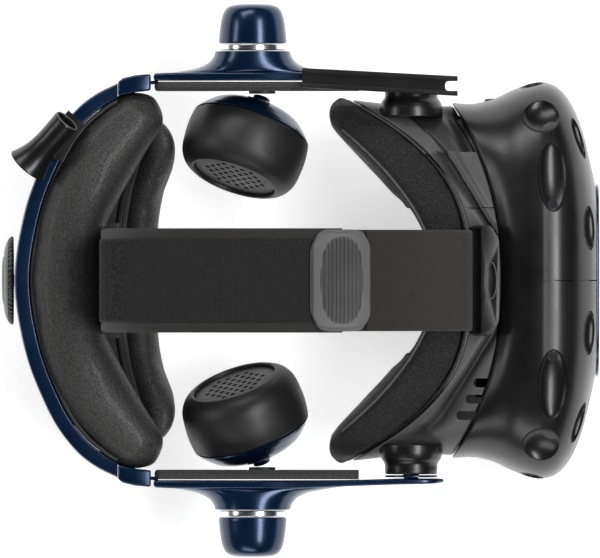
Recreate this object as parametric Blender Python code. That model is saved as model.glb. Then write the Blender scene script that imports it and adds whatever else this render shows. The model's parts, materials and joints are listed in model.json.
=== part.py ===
"""VR headset with side arms, earcups, a padded rear band and a top strap.

Built in millimetres and scaled to metres. +X is forward, +Y is the wearer's left, +Z is up.
The origin is on the surface that the headset rests on, below the middle of its bounding box.
"""

import math

import bmesh
import bpy
from mathutils import Matrix, Vector

MM = 0.001
GAP = 0.35

# Visor outer shell: side stations from its rear edge to its front plane.
SHELL_STATIONS = (
    # forward, half width, half height
    (74.0, 86.5, 52.0),
    (86.0, 86.3, 54.5),
    (94.0, 88.0, 57.0),
    (103.0, 93.0, 59.6),
    (112.0, 96.0, 60.4),
    (119.0, 96.5, 60.4),
    (126.0, 93.6, 59.4),
    (132.5, 85.5, 56.0),
    (137.5, 73.0, 51.0),
    (141.5, 57.0, 44.5),
    (144.0, 45.5, 37.5),
)
SHELL_WALL = 5.0
SHELL_REAR_BOW = 24.0
SHELL_REAR_WIDTH = 86.5
SHELL_WIDEST = 119.0
VISOR_MIDDLE = 58.5
VISOR_SQUARENESS = 3.2
RING_STEPS = 40

# Sensor dimples: forward, sideways, up, radius across, radius along, depth direction.
DIMPLE_DEPTH = 3.6
TOP_DIMPLES = ((118.0, 80.0, 8.8, 8.8), (123.0, 50.0, 7.0, 16.5))
FRONT_DIMPLES = ((68.0, 92.0, 7.0, 9.5), (25.0, 104.0, 10.0, 5.5), (30.0, 14.0, 10.0, 6.5),
                 (72.0, 34.0, 8.0, 8.0))
SIDE_DIMPLES = ((112.0, 76.0, 6.5, 9.0), (112.0, 40.0, 6.5, 9.0))

# Front plate and cameras.
PLATE_HALF_WIDTH = 47.0
PLATE_HALF_HEIGHT = 30.0
PLATE_THICKNESS = 1.15
CAMERA_SPACING = 64.0
CAMERA_RADIUS = 6.0

# Controls: system button on the left, IPD knob on the right, eye-relief button underneath.
SYSTEM_BUTTON_X = 96.0
SYSTEM_BUTTON_Z = 52.0
SYSTEM_BUTTON_RADIUS = 6.0
IPD_X = 92.5
IPD_Z = 40.0
IPD_SHAFT_RADIUS = 3.0
IPD_SHAFT_END = 28.0
IPD_KNOB_RADIUS = 9.0
IPD_KNOB_THICKNESS = 4.2
IPD_KNOB_Y = -92.4
RELIEF_X = 112.0
RELIEF_Y = 38.0
RELIEF_SIZE = (10.0, 14.0)

# Carriage between the shell and the face gasket.
CARRIAGE_WALL = 3.5
CARRIAGE_SEAM_GAP = 0.8
CARRIAGE_REAR = 84.0
CARRIAGE_REAR_SWEEP = 36.0
CARRIAGE_HALF_WIDTH = 84.0
CARRIAGE_HALF_HEIGHT = 50.0
SLEEVE_HALF_WIDTH = 80.0
SLEEVE_HALF_HEIGHT = 45.6
SLEEVE_DEPTH = 8.0

VENTS = ((88.0, -49.7, 6.8), (84.8, -57.6, 8.3), (80.9, -65.6, 9.8))
VENT_WIDTH = 4.4

# Face gasket: half sizes of its strip where it meets the carriage and where it meets the face.
GASKET_OUTER = (90.0, 50.0)
GASKET_INNER = (61.0, 34.0)
FACE_OUTER = (79.0, 48.0)
FACE_INNER = (57.0, 33.0)
GASKET_SQUARENESS = 0.8
GASKET_FRAME_GAP = 0.8
GASKET_FRAME_END = 2.2
FOAM_FRONT = 80.4
FOAM_FRONT_SWEEP = 62.6
FOAM_FACE = 66.0
FOAM_FACE_SWEEP = 53.0
CHEEK_REACH = 4.0
NOSE_ANGLE = 58.0
NOSE_HALF_WIDTH = 24.0
NOSE_ARCH = 22.0
NOSE_LOW = 19.0

# Optics.
EYE_OFFSET = 32.0
LENS_RADIUS = 23.0
BARREL_RADIUS = 25.0
LENS_REAR = 86.0
BARREL_REAR = 88.5
BARREL_LENGTH = 22.0
LENS_TRAVEL = 3.2

# Arms.
PIVOT_X = 54.0
PIVOT_Z = 84.0
HUB_X = -23.0
HUB_Z = 80.0
ARM_STATIONS = (
    # forward, inner face, outer face, middle height, half height
    (69.0, 96.5, 98.2, 84.0, 5.0),
    (66.5, 96.3, 98.6, 84.0, 9.0),
    (61.0, 96.3, 98.9, 84.0, 11.8),
    (48.0, 96.3, 99.2, 84.0, 12.7),
    (24.0, 97.0, 100.0, 82.6, 13.6),
    (0.0, 97.2, 101.0, 81.0, 15.5),
    (-23.0, 97.2, 101.2, 80.0, 17.5),
    (-46.0, 97.2, 101.2, 78.6, 15.5),
    (-62.0, 97.2, 101.0, 77.4, 13.5),
    (-70.3, 97.2, 100.7, 76.6, 12.5),
)
TONGUE_INNER = 95.4
TONGUE_OUTER = 97.0
TONGUE_END = -85.0
TONGUE_HALF_HEIGHT = 8.5
ARM_PAD_STATIONS = (
    # forward, half height
    (28.6, 9.0), (26.0, 11.6), (0.0, 14.8), (-23.0, 16.6), (-46.0, 14.8), (-66.0, 12.6), (-69.4, 9.6),
)
SLEEVE_FRONT = -72.6
SLEEVE_BACK = -88.5
SLEEVE_Z = 76.0

# Rear band, from the sleeve round to the middle.
BAND_PATH = ((-88.8, 96.0), (-99.5, 90.6), (-109.0, 83.0), (-118.5, 70.8), (-126.0, 56.0), (-132.4, 39.5),
             (-136.6, 22.0), (-138.5, 9.0), (-139.0, 0.0))
BAND_THICKNESS = 7.3
BAND_WALL = 3.0
BAND_LIP = 2.2
BAND_END_Z = 76.0
BAND_MIDDLE_Z = 52.0
BAND_END_HALF_HEIGHT = 12.5
BAND_MIDDLE_HALF_HEIGHT = 33.0

# Fitting dial and its pinion and racks.
DIAL_Z = 50.0
DIAL_RADIUS = 22.5
PINION_RADIUS = 7.0
PINION_TEETH = 14
TOOTH_HEIGHT = 1.3
RACK_REAR = -133.3
RACK_FRONT = -131.8

# Cable clip on the left of the band.
CLIP_TOP = (-112.5, 78.5, 95.8)
CLIP_MOUTH = (-136.0, 54.0, 94.6)
CLIP_RADIUS = 6.0
CLIP_BORE = 4.4

# Top strap.
STRAP_WIDTH = 50.4
STRAP_THICKNESS = 2.2
STRAP_PATH = ((-92.4, 51.5), (-92.4, 84.0), (-94.4, 112.0), (-91.0, 135.0), (-78.0, 157.0), (-52.0, 172.0),
              (-15.0, 179.0), (20.0, 176.0), (50.0, 162.0), (69.0, 145.0), (83.0, 121.0))
STRAP_LAYER_GAP = 0.4
UPPER_LAYER_WIDTH = 49.0
UPPER_LAYER_START = 34.0
PULL_TAB_START = 5.3
PULL_TAB_END = 33.6
PULL_TAB_THICKNESS = 4.0
PULL_TAB_CORNER = 6.0

# Earcups.
CUP_CENTRE = (-26.0, 67.4, 56.0)
CUP_YAW = math.radians(19.0)
CUP_LIFT = math.radians(18.0)
CUP_DEPTH = 40.0
CUP_STEPS = 24
NECK_LENGTH = 4.4
HANGER_OFFSET = 7.8

LEFT = 1
RIGHT = -1
SIDE_NAMES = {LEFT: "left", RIGHT: "right"}


# ---------------------------------------------------------------- helpers


def clear_scene():
    for obj in list(bpy.data.objects):
        bpy.data.objects.remove(obj, do_unlink=True)


def make_material(name, colour, roughness, metallic=0.0):
    material = bpy.data.materials.new(name)
    material.use_nodes = True
    shader = material.node_tree.nodes["Principled BSDF"]
    shader.inputs["Base Color"].default_value = (*colour, 1.0)
    shader.inputs["Roughness"].default_value = roughness
    shader.inputs["Metallic"].default_value = metallic
    material.diffuse_color = (*colour, 1.0)
    return material


def add_object(name, bm, material, origin=(0.0, 0.0, 0.0), sharp_degrees=35.0):
    """Turn a millimetre bmesh in world coordinates into an object whose origin is at `origin`."""
    bmesh.ops.recalc_face_normals(bm, faces=bm.faces)
    shift = Matrix.Translation(-Vector(origin))
    bm.transform(Matrix.Scale(MM, 4) @ shift)
    mesh = bpy.data.meshes.new(name)
    bm.to_mesh(mesh)
    bm.free()
    mesh.shade_smooth()
    mesh.set_sharp_from_angle(angle=math.radians(sharp_degrees))
    obj = bpy.data.objects.new(name, mesh)
    obj.location = Vector(origin) * MM
    bpy.context.scene.collection.objects.link(obj)
    if material is not None:
        obj.data.materials.append(material)
    return obj


def combine(obj, bm, operation="DIFFERENCE"):
    """Cut (or join) a hidden helper shape with the object by a Boolean modifier."""
    helper = add_object(f"{obj.name}_{operation.lower()}_{len(obj.modifiers)}", bm, None)
    helper.hide_render = True
    helper.display_type = "WIRE"
    modifier = obj.modifiers.new(operation.title(), "BOOLEAN")
    modifier.operation = operation
    modifier.solver = "EXACT"
    modifier.object = helper
    return obj


def loft(rings, loop=False):
    """Skin rings of equal point count: closed by caps, or by its own end if `loop`."""
    bm = bmesh.new()
    rows = [[bm.verts.new(point) for point in ring] for ring in rings]
    count = len(rows[0])
    pairs = list(zip(rows, rows[1:]))
    if loop:
        pairs.append((rows[-1], rows[0]))
    for first, second in pairs:
        for i in range(count):
            j = (i + 1) % count
            bm.faces.new((first[i], first[j], second[j], second[i]))
    if not loop:
        bm.faces.new(rows[0])
        bm.faces.new(list(reversed(rows[-1])))
    return bm


def prism(outline, axis, low, high):
    """Extrude a 2-D outline along X, Y or Z. The outline's axes are the other two, in order."""
    order = {"X": (2, 0, 1), "Y": (0, 2, 1), "Z": (0, 1, 2)}[axis]

    def place(a, b, c):
        values = (a, b, c)
        return tuple(values[i] for i in order)

    return loft([[place(a, b, level) for a, b in outline] for level in (low, high)])


def block(low, high):
    outline = [(low[0], low[1]), (high[0], low[1]), (high[0], high[1]), (low[0], high[1])]
    return prism(outline, "Z", low[2], high[2])


def rounded_outline(centre, size, radius, steps=4):
    """Rectangle with round corners, counter-clockwise."""
    points = []
    corners = ((1, 1, 0), (-1, 1, 90), (-1, -1, 180), (1, -1, 270))
    for sx, sy, start in corners:
        cx = centre[0] + sx * (size[0] / 2 - radius)
        cy = centre[1] + sy * (size[1] / 2 - radius)
        for i in range(steps + 1):
            angle = math.radians(start + 90 * i / steps)
            points.append((cx + radius * math.cos(angle), cy + radius * math.sin(angle)))
    return points


def circle_points(radius_a, radius_b, steps):
    angles = [2 * math.pi * i / steps for i in range(steps)]
    return [(radius_a * math.cos(a), radius_b * math.sin(a)) for a in angles]


def axis_frame(direction):
    """Three unit vectors: two across the direction, the second as upright as can be, and itself."""
    forward = Vector(direction).normalized()
    side = forward.cross(Vector((0.0, 0.0, 1.0)))
    if side.length < 0.01:
        side = Vector((1.0, 0.0, 0.0))
    side.normalize()
    return side, side.cross(forward), forward


def turned(profile, base, direction, steps, closed=False):
    """Turn (radius, distance) points about a line. `closed` makes a ring with an open middle."""
    side, up, forward = axis_frame(direction)
    rings = []
    for radius, distance in profile:
        centre = Vector(base) + forward * distance
        rings.append([centre + side * a + up * b for a, b in circle_points(radius, radius, steps)])
    return loft(rings, loop=closed)


def superellipse(half_width, half_height, squareness, steps):
    """Points (sideways, up) of a rounded rectangle, even in angle, starting at the wearer's left."""
    points = []
    for i in range(steps):
        angle = 2 * math.pi * i / steps
        c = math.cos(angle)
        s = math.sin(angle)
        y = half_width * math.copysign(abs(c) ** (2 / squareness), c)
        z = half_height * math.copysign(abs(s) ** (2 / squareness), s)
        points.append((y, z))
    return points


def smooth_path(points, steps):
    """Catmull-Rom curve through the points, `steps` spans between each pair."""
    count = len(points)
    padded = [points[0], *points, points[-1]]
    result = []
    for k in range(count - 1):
        p0, p1, p2, p3 = (Vector(p) for p in padded[k:k + 4])
        for i in range(steps):
            t = i / steps
            result.append(0.5 * ((2 * p1) + (p2 - p0) * t + (2 * p0 - 5 * p1 + 4 * p2 - p3) * t * t
                                 + (3 * p1 - p0 - 3 * p2 + p3) * t ** 3))
    result.append(Vector(points[-1]))
    return result


# ---------------------------------------------------------------- visor shapes


def shell_rear_edge(y):
    """Forward position of the outer shell's rear edge at a distance from the middle."""
    share = min(abs(y) / SHELL_REAR_WIDTH, 1.0)
    return SHELL_STATIONS[0][0] + SHELL_REAR_BOW * (1.0 - share ** 2.25)


def shell_ring(forward, half_width, half_height, shrink=0.0):
    """One ring of the shell. Behind its widest place it bends with the rear edge."""
    ring = []
    for y, z in superellipse(half_width - shrink, half_height - shrink, VISOR_SQUARENESS, RING_STEPS):
        rear = shell_rear_edge(y)
        start = SHELL_STATIONS[0][0]
        x = forward
        if forward < SHELL_WIDEST:
            x = rear + (forward - start) * (SHELL_WIDEST - rear) / (SHELL_WIDEST - start)
        z = max(z, -VISOR_MIDDLE + shrink)
        ring.append((x, y, VISOR_MIDDLE + z))
    return ring


def ellipsoid(centre, radii, direction=(1.0, 0.0, 0.0), steps=12, rings=7):
    side, up, forward = axis_frame(direction)
    levels = [math.pi * (i + 0.5) / rings for i in range(rings)]
    rows = []
    for level in levels:
        middle = Vector(centre) + forward * (radii[2] * math.cos(level))
        reach = math.sin(level)
        rows.append([middle + side * a * reach + up * b * reach
                     for a, b in circle_points(radii[0], radii[1], steps)])
    return loft(rows)


def shell_height(forward, sideways):
    """Height of the shell's outer surface above its middle, by its stations."""
    stations = SHELL_STATIONS
    for (x0, w0, h0), (x1, w1, h1) in zip(stations, stations[1:]):
        if forward <= x1:
            t = (forward - x0) / (x1 - x0)
            width = w0 + (w1 - w0) * t
            height = h0 + (h1 - h0) * t
            break
    share = min(abs(sideways) / width, 1.0)
    return height * (1.0 - share ** VISOR_SQUARENESS) ** (1.0 / VISOR_SQUARENESS)


def shell_forward(sideways, height):
    """Forward position of the shell's front surface at a sideways place and a height above its middle."""
    best = SHELL_STATIONS[-1][0]
    for (x0, w0, h0), (x1, w1, h1) in zip(SHELL_STATIONS[5:], SHELL_STATIONS[6:]):
        inside0 = (abs(sideways) / w0) ** VISOR_SQUARENESS + (abs(height) / h0) ** VISOR_SQUARENESS
        inside1 = (abs(sideways) / w1) ** VISOR_SQUARENESS + (abs(height) / h1) ** VISOR_SQUARENESS
        if inside0 <= 1.0 <= inside1:
            t = (1.0 - inside0) / (inside1 - inside0)
            best = x0 + (x1 - x0) * t
            break
    return best


def dimple_cutters():
    """Ellipsoids sunk into the shell's top, bottom, front and sides."""
    cutters = []
    for side in (LEFT, RIGHT):
        for forward, sideways, across, along in TOP_DIMPLES:
            for up in (1, -1):
                height = min(shell_height(forward, sideways), VISOR_MIDDLE)
                centre = (forward, side * sideways, VISOR_MIDDLE + up * height)
                cutters.append(ellipsoid(centre, (across, along, DIMPLE_DEPTH), (0.0, 0.0, up)))
        for sideways, height, across, along in FRONT_DIMPLES:
            forward = shell_forward(sideways, height - VISOR_MIDDLE)
            centre = (forward, side * sideways, height)
            lean = (0.8, side * sideways / 100.0, (height - VISOR_MIDDLE) / 70.0)
            cutters.append(ellipsoid(centre, (across, along, DIMPLE_DEPTH), lean))
        for forward, height, across, along in SIDE_DIMPLES:
            centre = (forward, side * 96.0, height)
            cutters.append(ellipsoid(centre, (across, along, DIMPLE_DEPTH), (0.0, side, 0.0)))
    return cutters


def build_visor_shell(materials):
    outer = [shell_ring(*station) for station in SHELL_STATIONS]
    start = SHELL_STATIONS[0][0]
    front = SHELL_STATIONS[-1][0]
    squeeze = (front - SHELL_WALL - start) / (front - start)
    inner = []
    for forward, half_width, half_height in SHELL_STATIONS:
        inside = start + (forward - start) * squeeze
        inner.append(shell_ring(inside, half_width, half_height, SHELL_WALL))
    shell = add_object("visor_shell", loft(inner[::-1] + outer), materials["shell"])
    for cutter in dimple_cutters():
        combine(shell, cutter)
    pocket = button_prism(SYSTEM_BUTTON_X, SYSTEM_BUTTON_Z, SYSTEM_BUTTON_RADIUS + GAP)
    combine(shell, pocket)
    knob_hole = [(IPD_KNOB_RADIUS + GAP, 0.0), (IPD_KNOB_RADIUS + GAP, 12.2), (IPD_SHAFT_RADIUS + GAP, 12.2),
                 (IPD_SHAFT_RADIUS + GAP, 22.0)]
    combine(shell, turned(knob_hole, (IPD_X, -100.0, IPD_Z), (0.0, 1.0, 0.0), 20))
    half_length, half_width = (size / 2 + GAP for size in RELIEF_SIZE)
    combine(shell, block((RELIEF_X - half_length, RELIEF_Y - half_width, -4.0),
                         (RELIEF_X + half_length, RELIEF_Y + half_width, 8.0)))
    return shell


def button_prism(forward, height, radius, low=80.0, high=100.0):
    """Round pin along Y."""
    outline = [(forward + a, height + b) for a, b in circle_points(radius, radius, 20)]
    return prism(outline, "Y", low, high)


def build_front_plate(materials):
    outline = [(y, VISOR_MIDDLE + z) for y, z in superellipse(PLATE_HALF_WIDTH, PLATE_HALF_HEIGHT, 3.0, 36)]
    face = SHELL_STATIONS[-1][0] + GAP
    plate = add_object("front_plate", prism(outline, "X", face, face + PLATE_THICKNESS), materials["blue"])
    for side in (LEFT, RIGHT):
        centre = (side * CAMERA_SPACING / 2, VISOR_MIDDLE)
        hole = [(centre[0] + a, centre[1] + b)
                for a, b in circle_points(CAMERA_RADIUS + GAP, CAMERA_RADIUS + GAP, 20)]
        combine(plate, prism(hole, "X", face - 2.0, face + 4.0))
        lens = [(CAMERA_RADIUS, 0.0), (CAMERA_RADIUS, 0.6), (CAMERA_RADIUS - 1.2, 1.0), (2.5, 1.15)]
        bm = turned(lens, (face, centre[0], VISOR_MIDDLE), (1.0, 0.0, 0.0), 20)
        add_object(f"front_camera_{SIDE_NAMES[side]}", bm, materials["glass"])


def build_visor_electronics(materials):
    bezel_outline = [(y, VISOR_MIDDLE + z) for y, z in superellipse(73.0, 42.0, 2.8, 40)]
    bezel = add_object("optics_bezel", prism(bezel_outline, "X", 97.0, 99.0), materials["dark"])
    for side in (LEFT, RIGHT):
        reach = BARREL_RADIUS + 1.0
        size = (2 * (reach + LENS_TRAVEL), 2 * reach)
        hole = rounded_outline((side * EYE_OFFSET, VISOR_MIDDLE), size, reach - 0.2, 8)
        if side == LEFT:
            hole = [(max(y, 1.6), z) for y, z in hole]
        else:
            hole = [(min(y, -1.6), z) for y, z in hole]
        combine(bezel, prism(hole, "X", 92.0, 104.0))
    board = [(y, VISOR_MIDDLE + z) for y, z in superellipse(66.0, 38.0, 4.0, 32)]
    add_object("main_board", prism(board, "X", 125.0, 126.6), materials["board"])


def build_optics(side, materials):
    name = SIDE_NAMES[side]
    centre = (0.0, side * EYE_OFFSET, VISOR_MIDDLE)
    lens = [(LENS_RADIUS, 2.4), (LENS_RADIUS - 4.0, 1.0), (LENS_RADIUS - 12.0, 0.2), (3.0, 0.0),
            (3.0, 5.5), (LENS_RADIUS - 12.0, 5.4), (LENS_RADIUS, 4.4)]
    add_object(f"lens_{name}", turned(lens, (LENS_REAR, *centre[1:]), (1.0, 0.0, 0.0), 24), materials["lens"])
    barrel = [(BARREL_RADIUS - 4.5, 3.0), (BARREL_RADIUS - 1.5, 2.6), (BARREL_RADIUS - 1.5, -3.0),
              (BARREL_RADIUS, -3.0), (BARREL_RADIUS, BARREL_LENGTH), (BARREL_RADIUS - 4.5, BARREL_LENGTH)]
    body = turned(barrel, (BARREL_REAR, *centre[1:]), (1.0, 0.0, 0.0), 24, closed=True)
    add_object(f"lens_barrel_{name}", body, materials["dark"])
    outline = rounded_outline((centre[1], centre[2]), (52.0, 56.0), 5.0, 2)
    rear = BARREL_REAR + BARREL_LENGTH + GAP
    add_object(f"display_panel_{name}", prism(outline, "X", rear, rear + 2.5), materials["glass"])


def build_visor_controls(materials):
    button = button_prism(SYSTEM_BUTTON_X, SYSTEM_BUTTON_Z, SYSTEM_BUTTON_RADIUS, 83.5, 90.2)
    add_object("system_button", button, materials["dark"], (SYSTEM_BUTTON_X, 88.0, SYSTEM_BUTTON_Z))
    relief = prism(rounded_outline((RELIEF_X, RELIEF_Y), RELIEF_SIZE, 2.5, 3), "Z", 0.6, 6.5)
    add_object("eye_relief_button", relief, materials["dark"], (RELIEF_X, RELIEF_Y, 0.0))
    knob = [(IPD_KNOB_RADIUS - 0.8, 0.0), (IPD_KNOB_RADIUS, 0.8), (IPD_KNOB_RADIUS, IPD_KNOB_THICKNESS),
            (IPD_SHAFT_RADIUS, IPD_KNOB_THICKNESS), (IPD_SHAFT_RADIUS, IPD_SHAFT_END)]
    origin = (IPD_X, IPD_KNOB_Y, IPD_Z)
    add_object("ipd_knob", turned(knob, origin, (0.0, 1.0, 0.0), 20), materials["blue"], origin)


# ---------------------------------------------------------------- carriage and gasket


def carriage_rear_edge(y):
    share = min(abs(y) / CARRIAGE_HALF_WIDTH, 1.0)
    return CARRIAGE_REAR - CARRIAGE_REAR_SWEEP * share ** 2.6


def carriage_ring(half_width, half_height, forward_of):
    ring = []
    for y, z in superellipse(half_width, half_height, VISOR_SQUARENESS, RING_STEPS):
        ring.append((forward_of(y), y, VISOR_MIDDLE + z))
    return ring


def carriage_seam(y):
    return shell_rear_edge(y) - CARRIAGE_SEAM_GAP


def sleeve_nose(y):
    return shell_rear_edge(y) + SLEEVE_DEPTH


def build_carriage(materials):
    bore_width = SLEEVE_HALF_WIDTH - CARRIAGE_WALL
    bore_height = SLEEVE_HALF_HEIGHT - CARRIAGE_WALL
    rings = [
        carriage_ring(CARRIAGE_HALF_WIDTH, CARRIAGE_HALF_HEIGHT, carriage_rear_edge),
        carriage_ring(SHELL_REAR_WIDTH - 1.4, 50.8, carriage_seam),
        carriage_ring(SLEEVE_HALF_WIDTH, SLEEVE_HALF_HEIGHT, carriage_seam),
        carriage_ring(SLEEVE_HALF_WIDTH, SLEEVE_HALF_HEIGHT, sleeve_nose),
        carriage_ring(bore_width, bore_height, sleeve_nose),
        carriage_ring(bore_width, bore_height, carriage_rear_edge),
    ]
    carriage = add_object("carriage", loft(rings, loop=True), materials["grey"])
    # Three slanted vents on the wearer's right.
    for middle_x, middle_y, length in VENTS:
        slot = rounded_outline((middle_x, middle_y), (length, VENT_WIDTH), 2.1, 4)
        combine(carriage, prism(slot, "Z", 96.0, 115.0))
    return carriage


def foam_front(y):
    share = min(abs(y) / GASKET_OUTER[0], 1.0)
    return FOAM_FRONT - FOAM_FRONT_SWEEP * share ** 2.9


def foam_face(y, lower_share):
    share = min(abs(y) / FACE_OUTER[0], 1.0)
    return FOAM_FACE - FOAM_FACE_SWEEP * share ** 1.9 - CHEEK_REACH * lower_share


def gasket_angles(count):
    """Angles round the face from the right of the nose, over the forehead, to the left of it."""
    nose_angle = math.radians(NOSE_ANGLE)
    start = -math.pi / 2 - (math.pi / 2 - nose_angle)
    sweep = 2 * math.pi - 2 * (math.pi / 2 - nose_angle)
    return [start - sweep * i / (count - 1) for i in range(count)]


def gasket_place(angle, half_size):
    """Sideways place and height of a point of the gasket's strip."""
    c = math.cos(angle)
    s = math.sin(angle)
    y = half_size[0] * math.copysign(abs(c) ** GASKET_SQUARENESS, c)
    z = half_size[1] * math.copysign(abs(s) ** GASKET_SQUARENESS, s)
    return y, VISOR_MIDDLE + z


def gasket_front_point(angle, half_size, beyond=0.0):
    y, z = gasket_place(angle, half_size)
    return (foam_front(y) + beyond, y, z)


def gasket_face_point(angle, half_size):
    y, z = gasket_place(angle, half_size)
    return (foam_face(y, max(-math.sin(angle), 0.0)), y, z)


def build_face_gasket(materials):
    foam = []
    frame = []
    for angle in gasket_angles(33):
        foam.append([
            gasket_front_point(angle, GASKET_OUTER),
            gasket_face_point(angle, FACE_OUTER),
            gasket_face_point(angle, FACE_INNER),
            gasket_front_point(angle, GASKET_INNER),
        ])
        frame.append([
            gasket_front_point(angle, GASKET_INNER, GASKET_FRAME_GAP),
            gasket_front_point(angle, GASKET_OUTER, GASKET_FRAME_GAP),
            gasket_front_point(angle, GASKET_OUTER, GASKET_FRAME_END),
            gasket_front_point(angle, GASKET_INNER, GASKET_FRAME_END),
        ])
    add_object("face_cushion", loft(foam), materials["foam"])
    add_object("gasket_frame", loft(frame), materials["dark"])


def build_nose_gasket(materials):
    """Thin arched flap that closes the gap over the nose."""
    rings = []
    for i in range(9):
        share = i / 4.0 - 1.0
        sideways = NOSE_HALF_WIDTH * share
        low = NOSE_LOW + NOSE_ARCH * (1.0 - share ** 2)
        rings.append([
            (71.0, sideways, low),
            (69.4, sideways, low + 1.4),
            (81.4, sideways, low - 0.6),
            (81.4, sideways, low - 2.2),
        ])
    add_object("nose_gasket", loft(rings), materials["rubber"])


def build_strap_bracket(materials):
    outline = [(79.0, 22.0), (83.5, 27.0), (92.5, 27.0), (96.6, 20.0), (96.6, -20.0), (92.5, -27.0),
               (83.5, -27.0), (79.0, -22.0)]
    bracket = add_object("strap_bracket", prism(outline, "Z", 109.8, 119.5), materials["shell"])
    # Slot for the strap, open upwards behind a bar, and a plain oval recess on top.
    combine(bracket, block((81.4, -25.7, 113.0), (87.6, 25.7, 122.0)))
    oval = [(92.2 + a, b) for a, b in circle_points(2.4, 8.0, 16)]
    combine(bracket, prism(oval, "Z", 118.6, 122.0))


def build_tilt_hub(side, materials):
    name = SIDE_NAMES[side]
    flange = [(16.0, 0.0), (15.2, 1.6), (12.7, 4.2), (12.7, 8.6), (3.5, 8.6), (3.5, 12.4)]
    base = (PIVOT_X, side * 85.6, PIVOT_Z)
    add_object(f"tilt_hub_{name}", turned(flange, base, (0.0, side, 0.0), 24), materials["shell"], base)
    washer = [(4.0, 0.0), (12.9, 0.0), (12.9, 1.0), (4.0, 1.0)]
    ring = turned(washer, (PIVOT_X, side * 94.7, PIVOT_Z), (0.0, side, 0.0), 24, closed=True)
    add_object(f"tilt_washer_{name}", ring, materials["blue"])


# ---------------------------------------------------------------- arms


def arm_section(side, station, chamfer=0.8):
    x, inner, outer, middle, half = station
    points = [
        (inner, middle - half + chamfer), (inner, middle + half - chamfer),
        (inner + chamfer, middle + half), (outer - chamfer, middle + half),
        (outer, middle + half - 2 * chamfer), (outer, middle - half + 2 * chamfer),
        (outer - chamfer, middle - half), (inner + chamfer, middle - half),
    ]
    return [(x, side * y, z) for y, z in points]


def hub_flare(side):
    """Oval cone that grows out of the arm into a round neck."""
    profile = (
        # outward, half length, half height
        (100.2, 44.0, 14.5), (101.7, 35.0, 16.6), (103.2, 27.5, 17.4), (105.6, 22.0, 17.9),
        (108.6, 19.2, 18.2), (111.5, 18.25, 18.25),
    )
    rings = []
    for outward, length, height in profile:
        rings.append([(HUB_X + a, side * outward, HUB_Z + b) for a, b in circle_points(length, height, 32)])
    return loft(rings)


def build_arm(side, materials):
    name = SIDE_NAMES[side]
    arm = add_object(f"arm_{name}", loft([arm_section(side, s) for s in ARM_STATIONS]), materials["blue"])
    combine(arm, hub_flare(side), "UNION")
    low_y, high_y = sorted((side * TONGUE_INNER, side * TONGUE_OUTER))
    tongue = block((TONGUE_END, low_y, SLEEVE_Z - TONGUE_HALF_HEIGHT),
                   (-70.7, high_y, SLEEVE_Z + TONGUE_HALF_HEIGHT))
    combine(arm, tongue, "UNION")
    low_y, high_y = sorted((side * TONGUE_INNER, side * 99.0))
    step = block((-72.0, low_y, SLEEVE_Z - TONGUE_HALF_HEIGHT),
                 (-69.8, high_y, SLEEVE_Z + TONGUE_HALF_HEIGHT))
    combine(arm, step, "UNION")
    hole = turned([(4.0, 0.0), (4.0, 12.0)], (PIVOT_X, side * 92.0, PIVOT_Z), (0.0, side, 0.0), 20)
    combine(arm, hole)


def build_arm_pad(side, materials):
    name = SIDE_NAMES[side]
    rings = []
    for x, half in ARM_PAD_STATIONS:
        middle = HUB_Z + (x - HUB_X) * 0.065
        bevel = 1.6
        points = [
            (96.8, middle - half), (96.8, middle + half), (93.4, middle + half),
            (92.0, middle + half - bevel * 2), (92.0, middle - half + bevel * 2), (93.4, middle - half),
        ]
        rings.append([(x, side * y, z) for y, z in points])
    pad = add_object(f"arm_pad_{name}", loft(rings), materials["felt"])
    low_y, high_y = sorted((side * 90.0, side * 93.8))
    middle = CUP_CENTRE[0] + HANGER_OFFSET
    combine(pad, block((middle - 7.4, low_y, 50.0), (middle + 7.4, high_y, 91.5)))


def build_hub_trim(side, materials):
    name = SIDE_NAMES[side]
    ring = turned([(16.2, 0.0), (16.2, 2.9)], (HUB_X, side * 111.9, HUB_Z), (0.0, side, 0.0), 28)
    add_object(f"hub_ring_{name}", ring, materials["chrome"])
    profile = [(16.6, 0.0), (16.2, 6.0), (15.2, 12.0), (14.0, 15.6), (12.2, 17.8), (9.4, 19.0), (5.0, 19.3)]
    cap = turned(profile, (HUB_X, side * 115.2, HUB_Z), (0.0, side, 0.0), 28)
    add_object(f"hub_cap_{name}", cap, materials["blue"])


def build_cable_channel(materials):
    """Channel on top of the left arm, open along its top, ending in a two-pronged fork."""
    rings = []
    for x, y, z in ((76.5, 94.4, 97.3), (54.0, 95.6, 97.3), (28.0, 97.0, 97.1), (1.0, 98.4, 97.0)):
        half = 4.8
        wall = 1.5
        lip = 2.4
        height = 9.0
        outline = [
            (-half, 0.0), (half, 0.0), (half, height), (half - lip, height), (half - lip, height - wall),
            (half - wall, height - wall), (half - wall, wall), (-half + wall, wall),
            (-half + wall, height - wall), (-half + lip, height - wall), (-half + lip, height),
            (-half, height),
        ]
        rings.append([(x, y + a, z + b) for a, b in outline])
    channel = add_object("cable_channel", loft(rings), materials["shell"])
    combine(channel, block((70.5, 92.0, 96.0), (78.0, 96.8, 108.0)))


# ---------------------------------------------------------------- rear


def band_share(y):
    """0 at the band's ends, 1 in the middle, smooth between."""
    share = 1.0 - min(abs(y) / 96.0, 1.0)
    return share * share * (3.0 - 2.0 * share)


def band_side_path(side, steps=2):
    return [Vector((p.x, side * p.y)) for p in smooth_path(BAND_PATH, steps)]


def band_path(steps=2):
    left = band_side_path(LEFT, steps)
    right = band_side_path(RIGHT, steps)[::-1]
    return left + right[1:]


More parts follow.
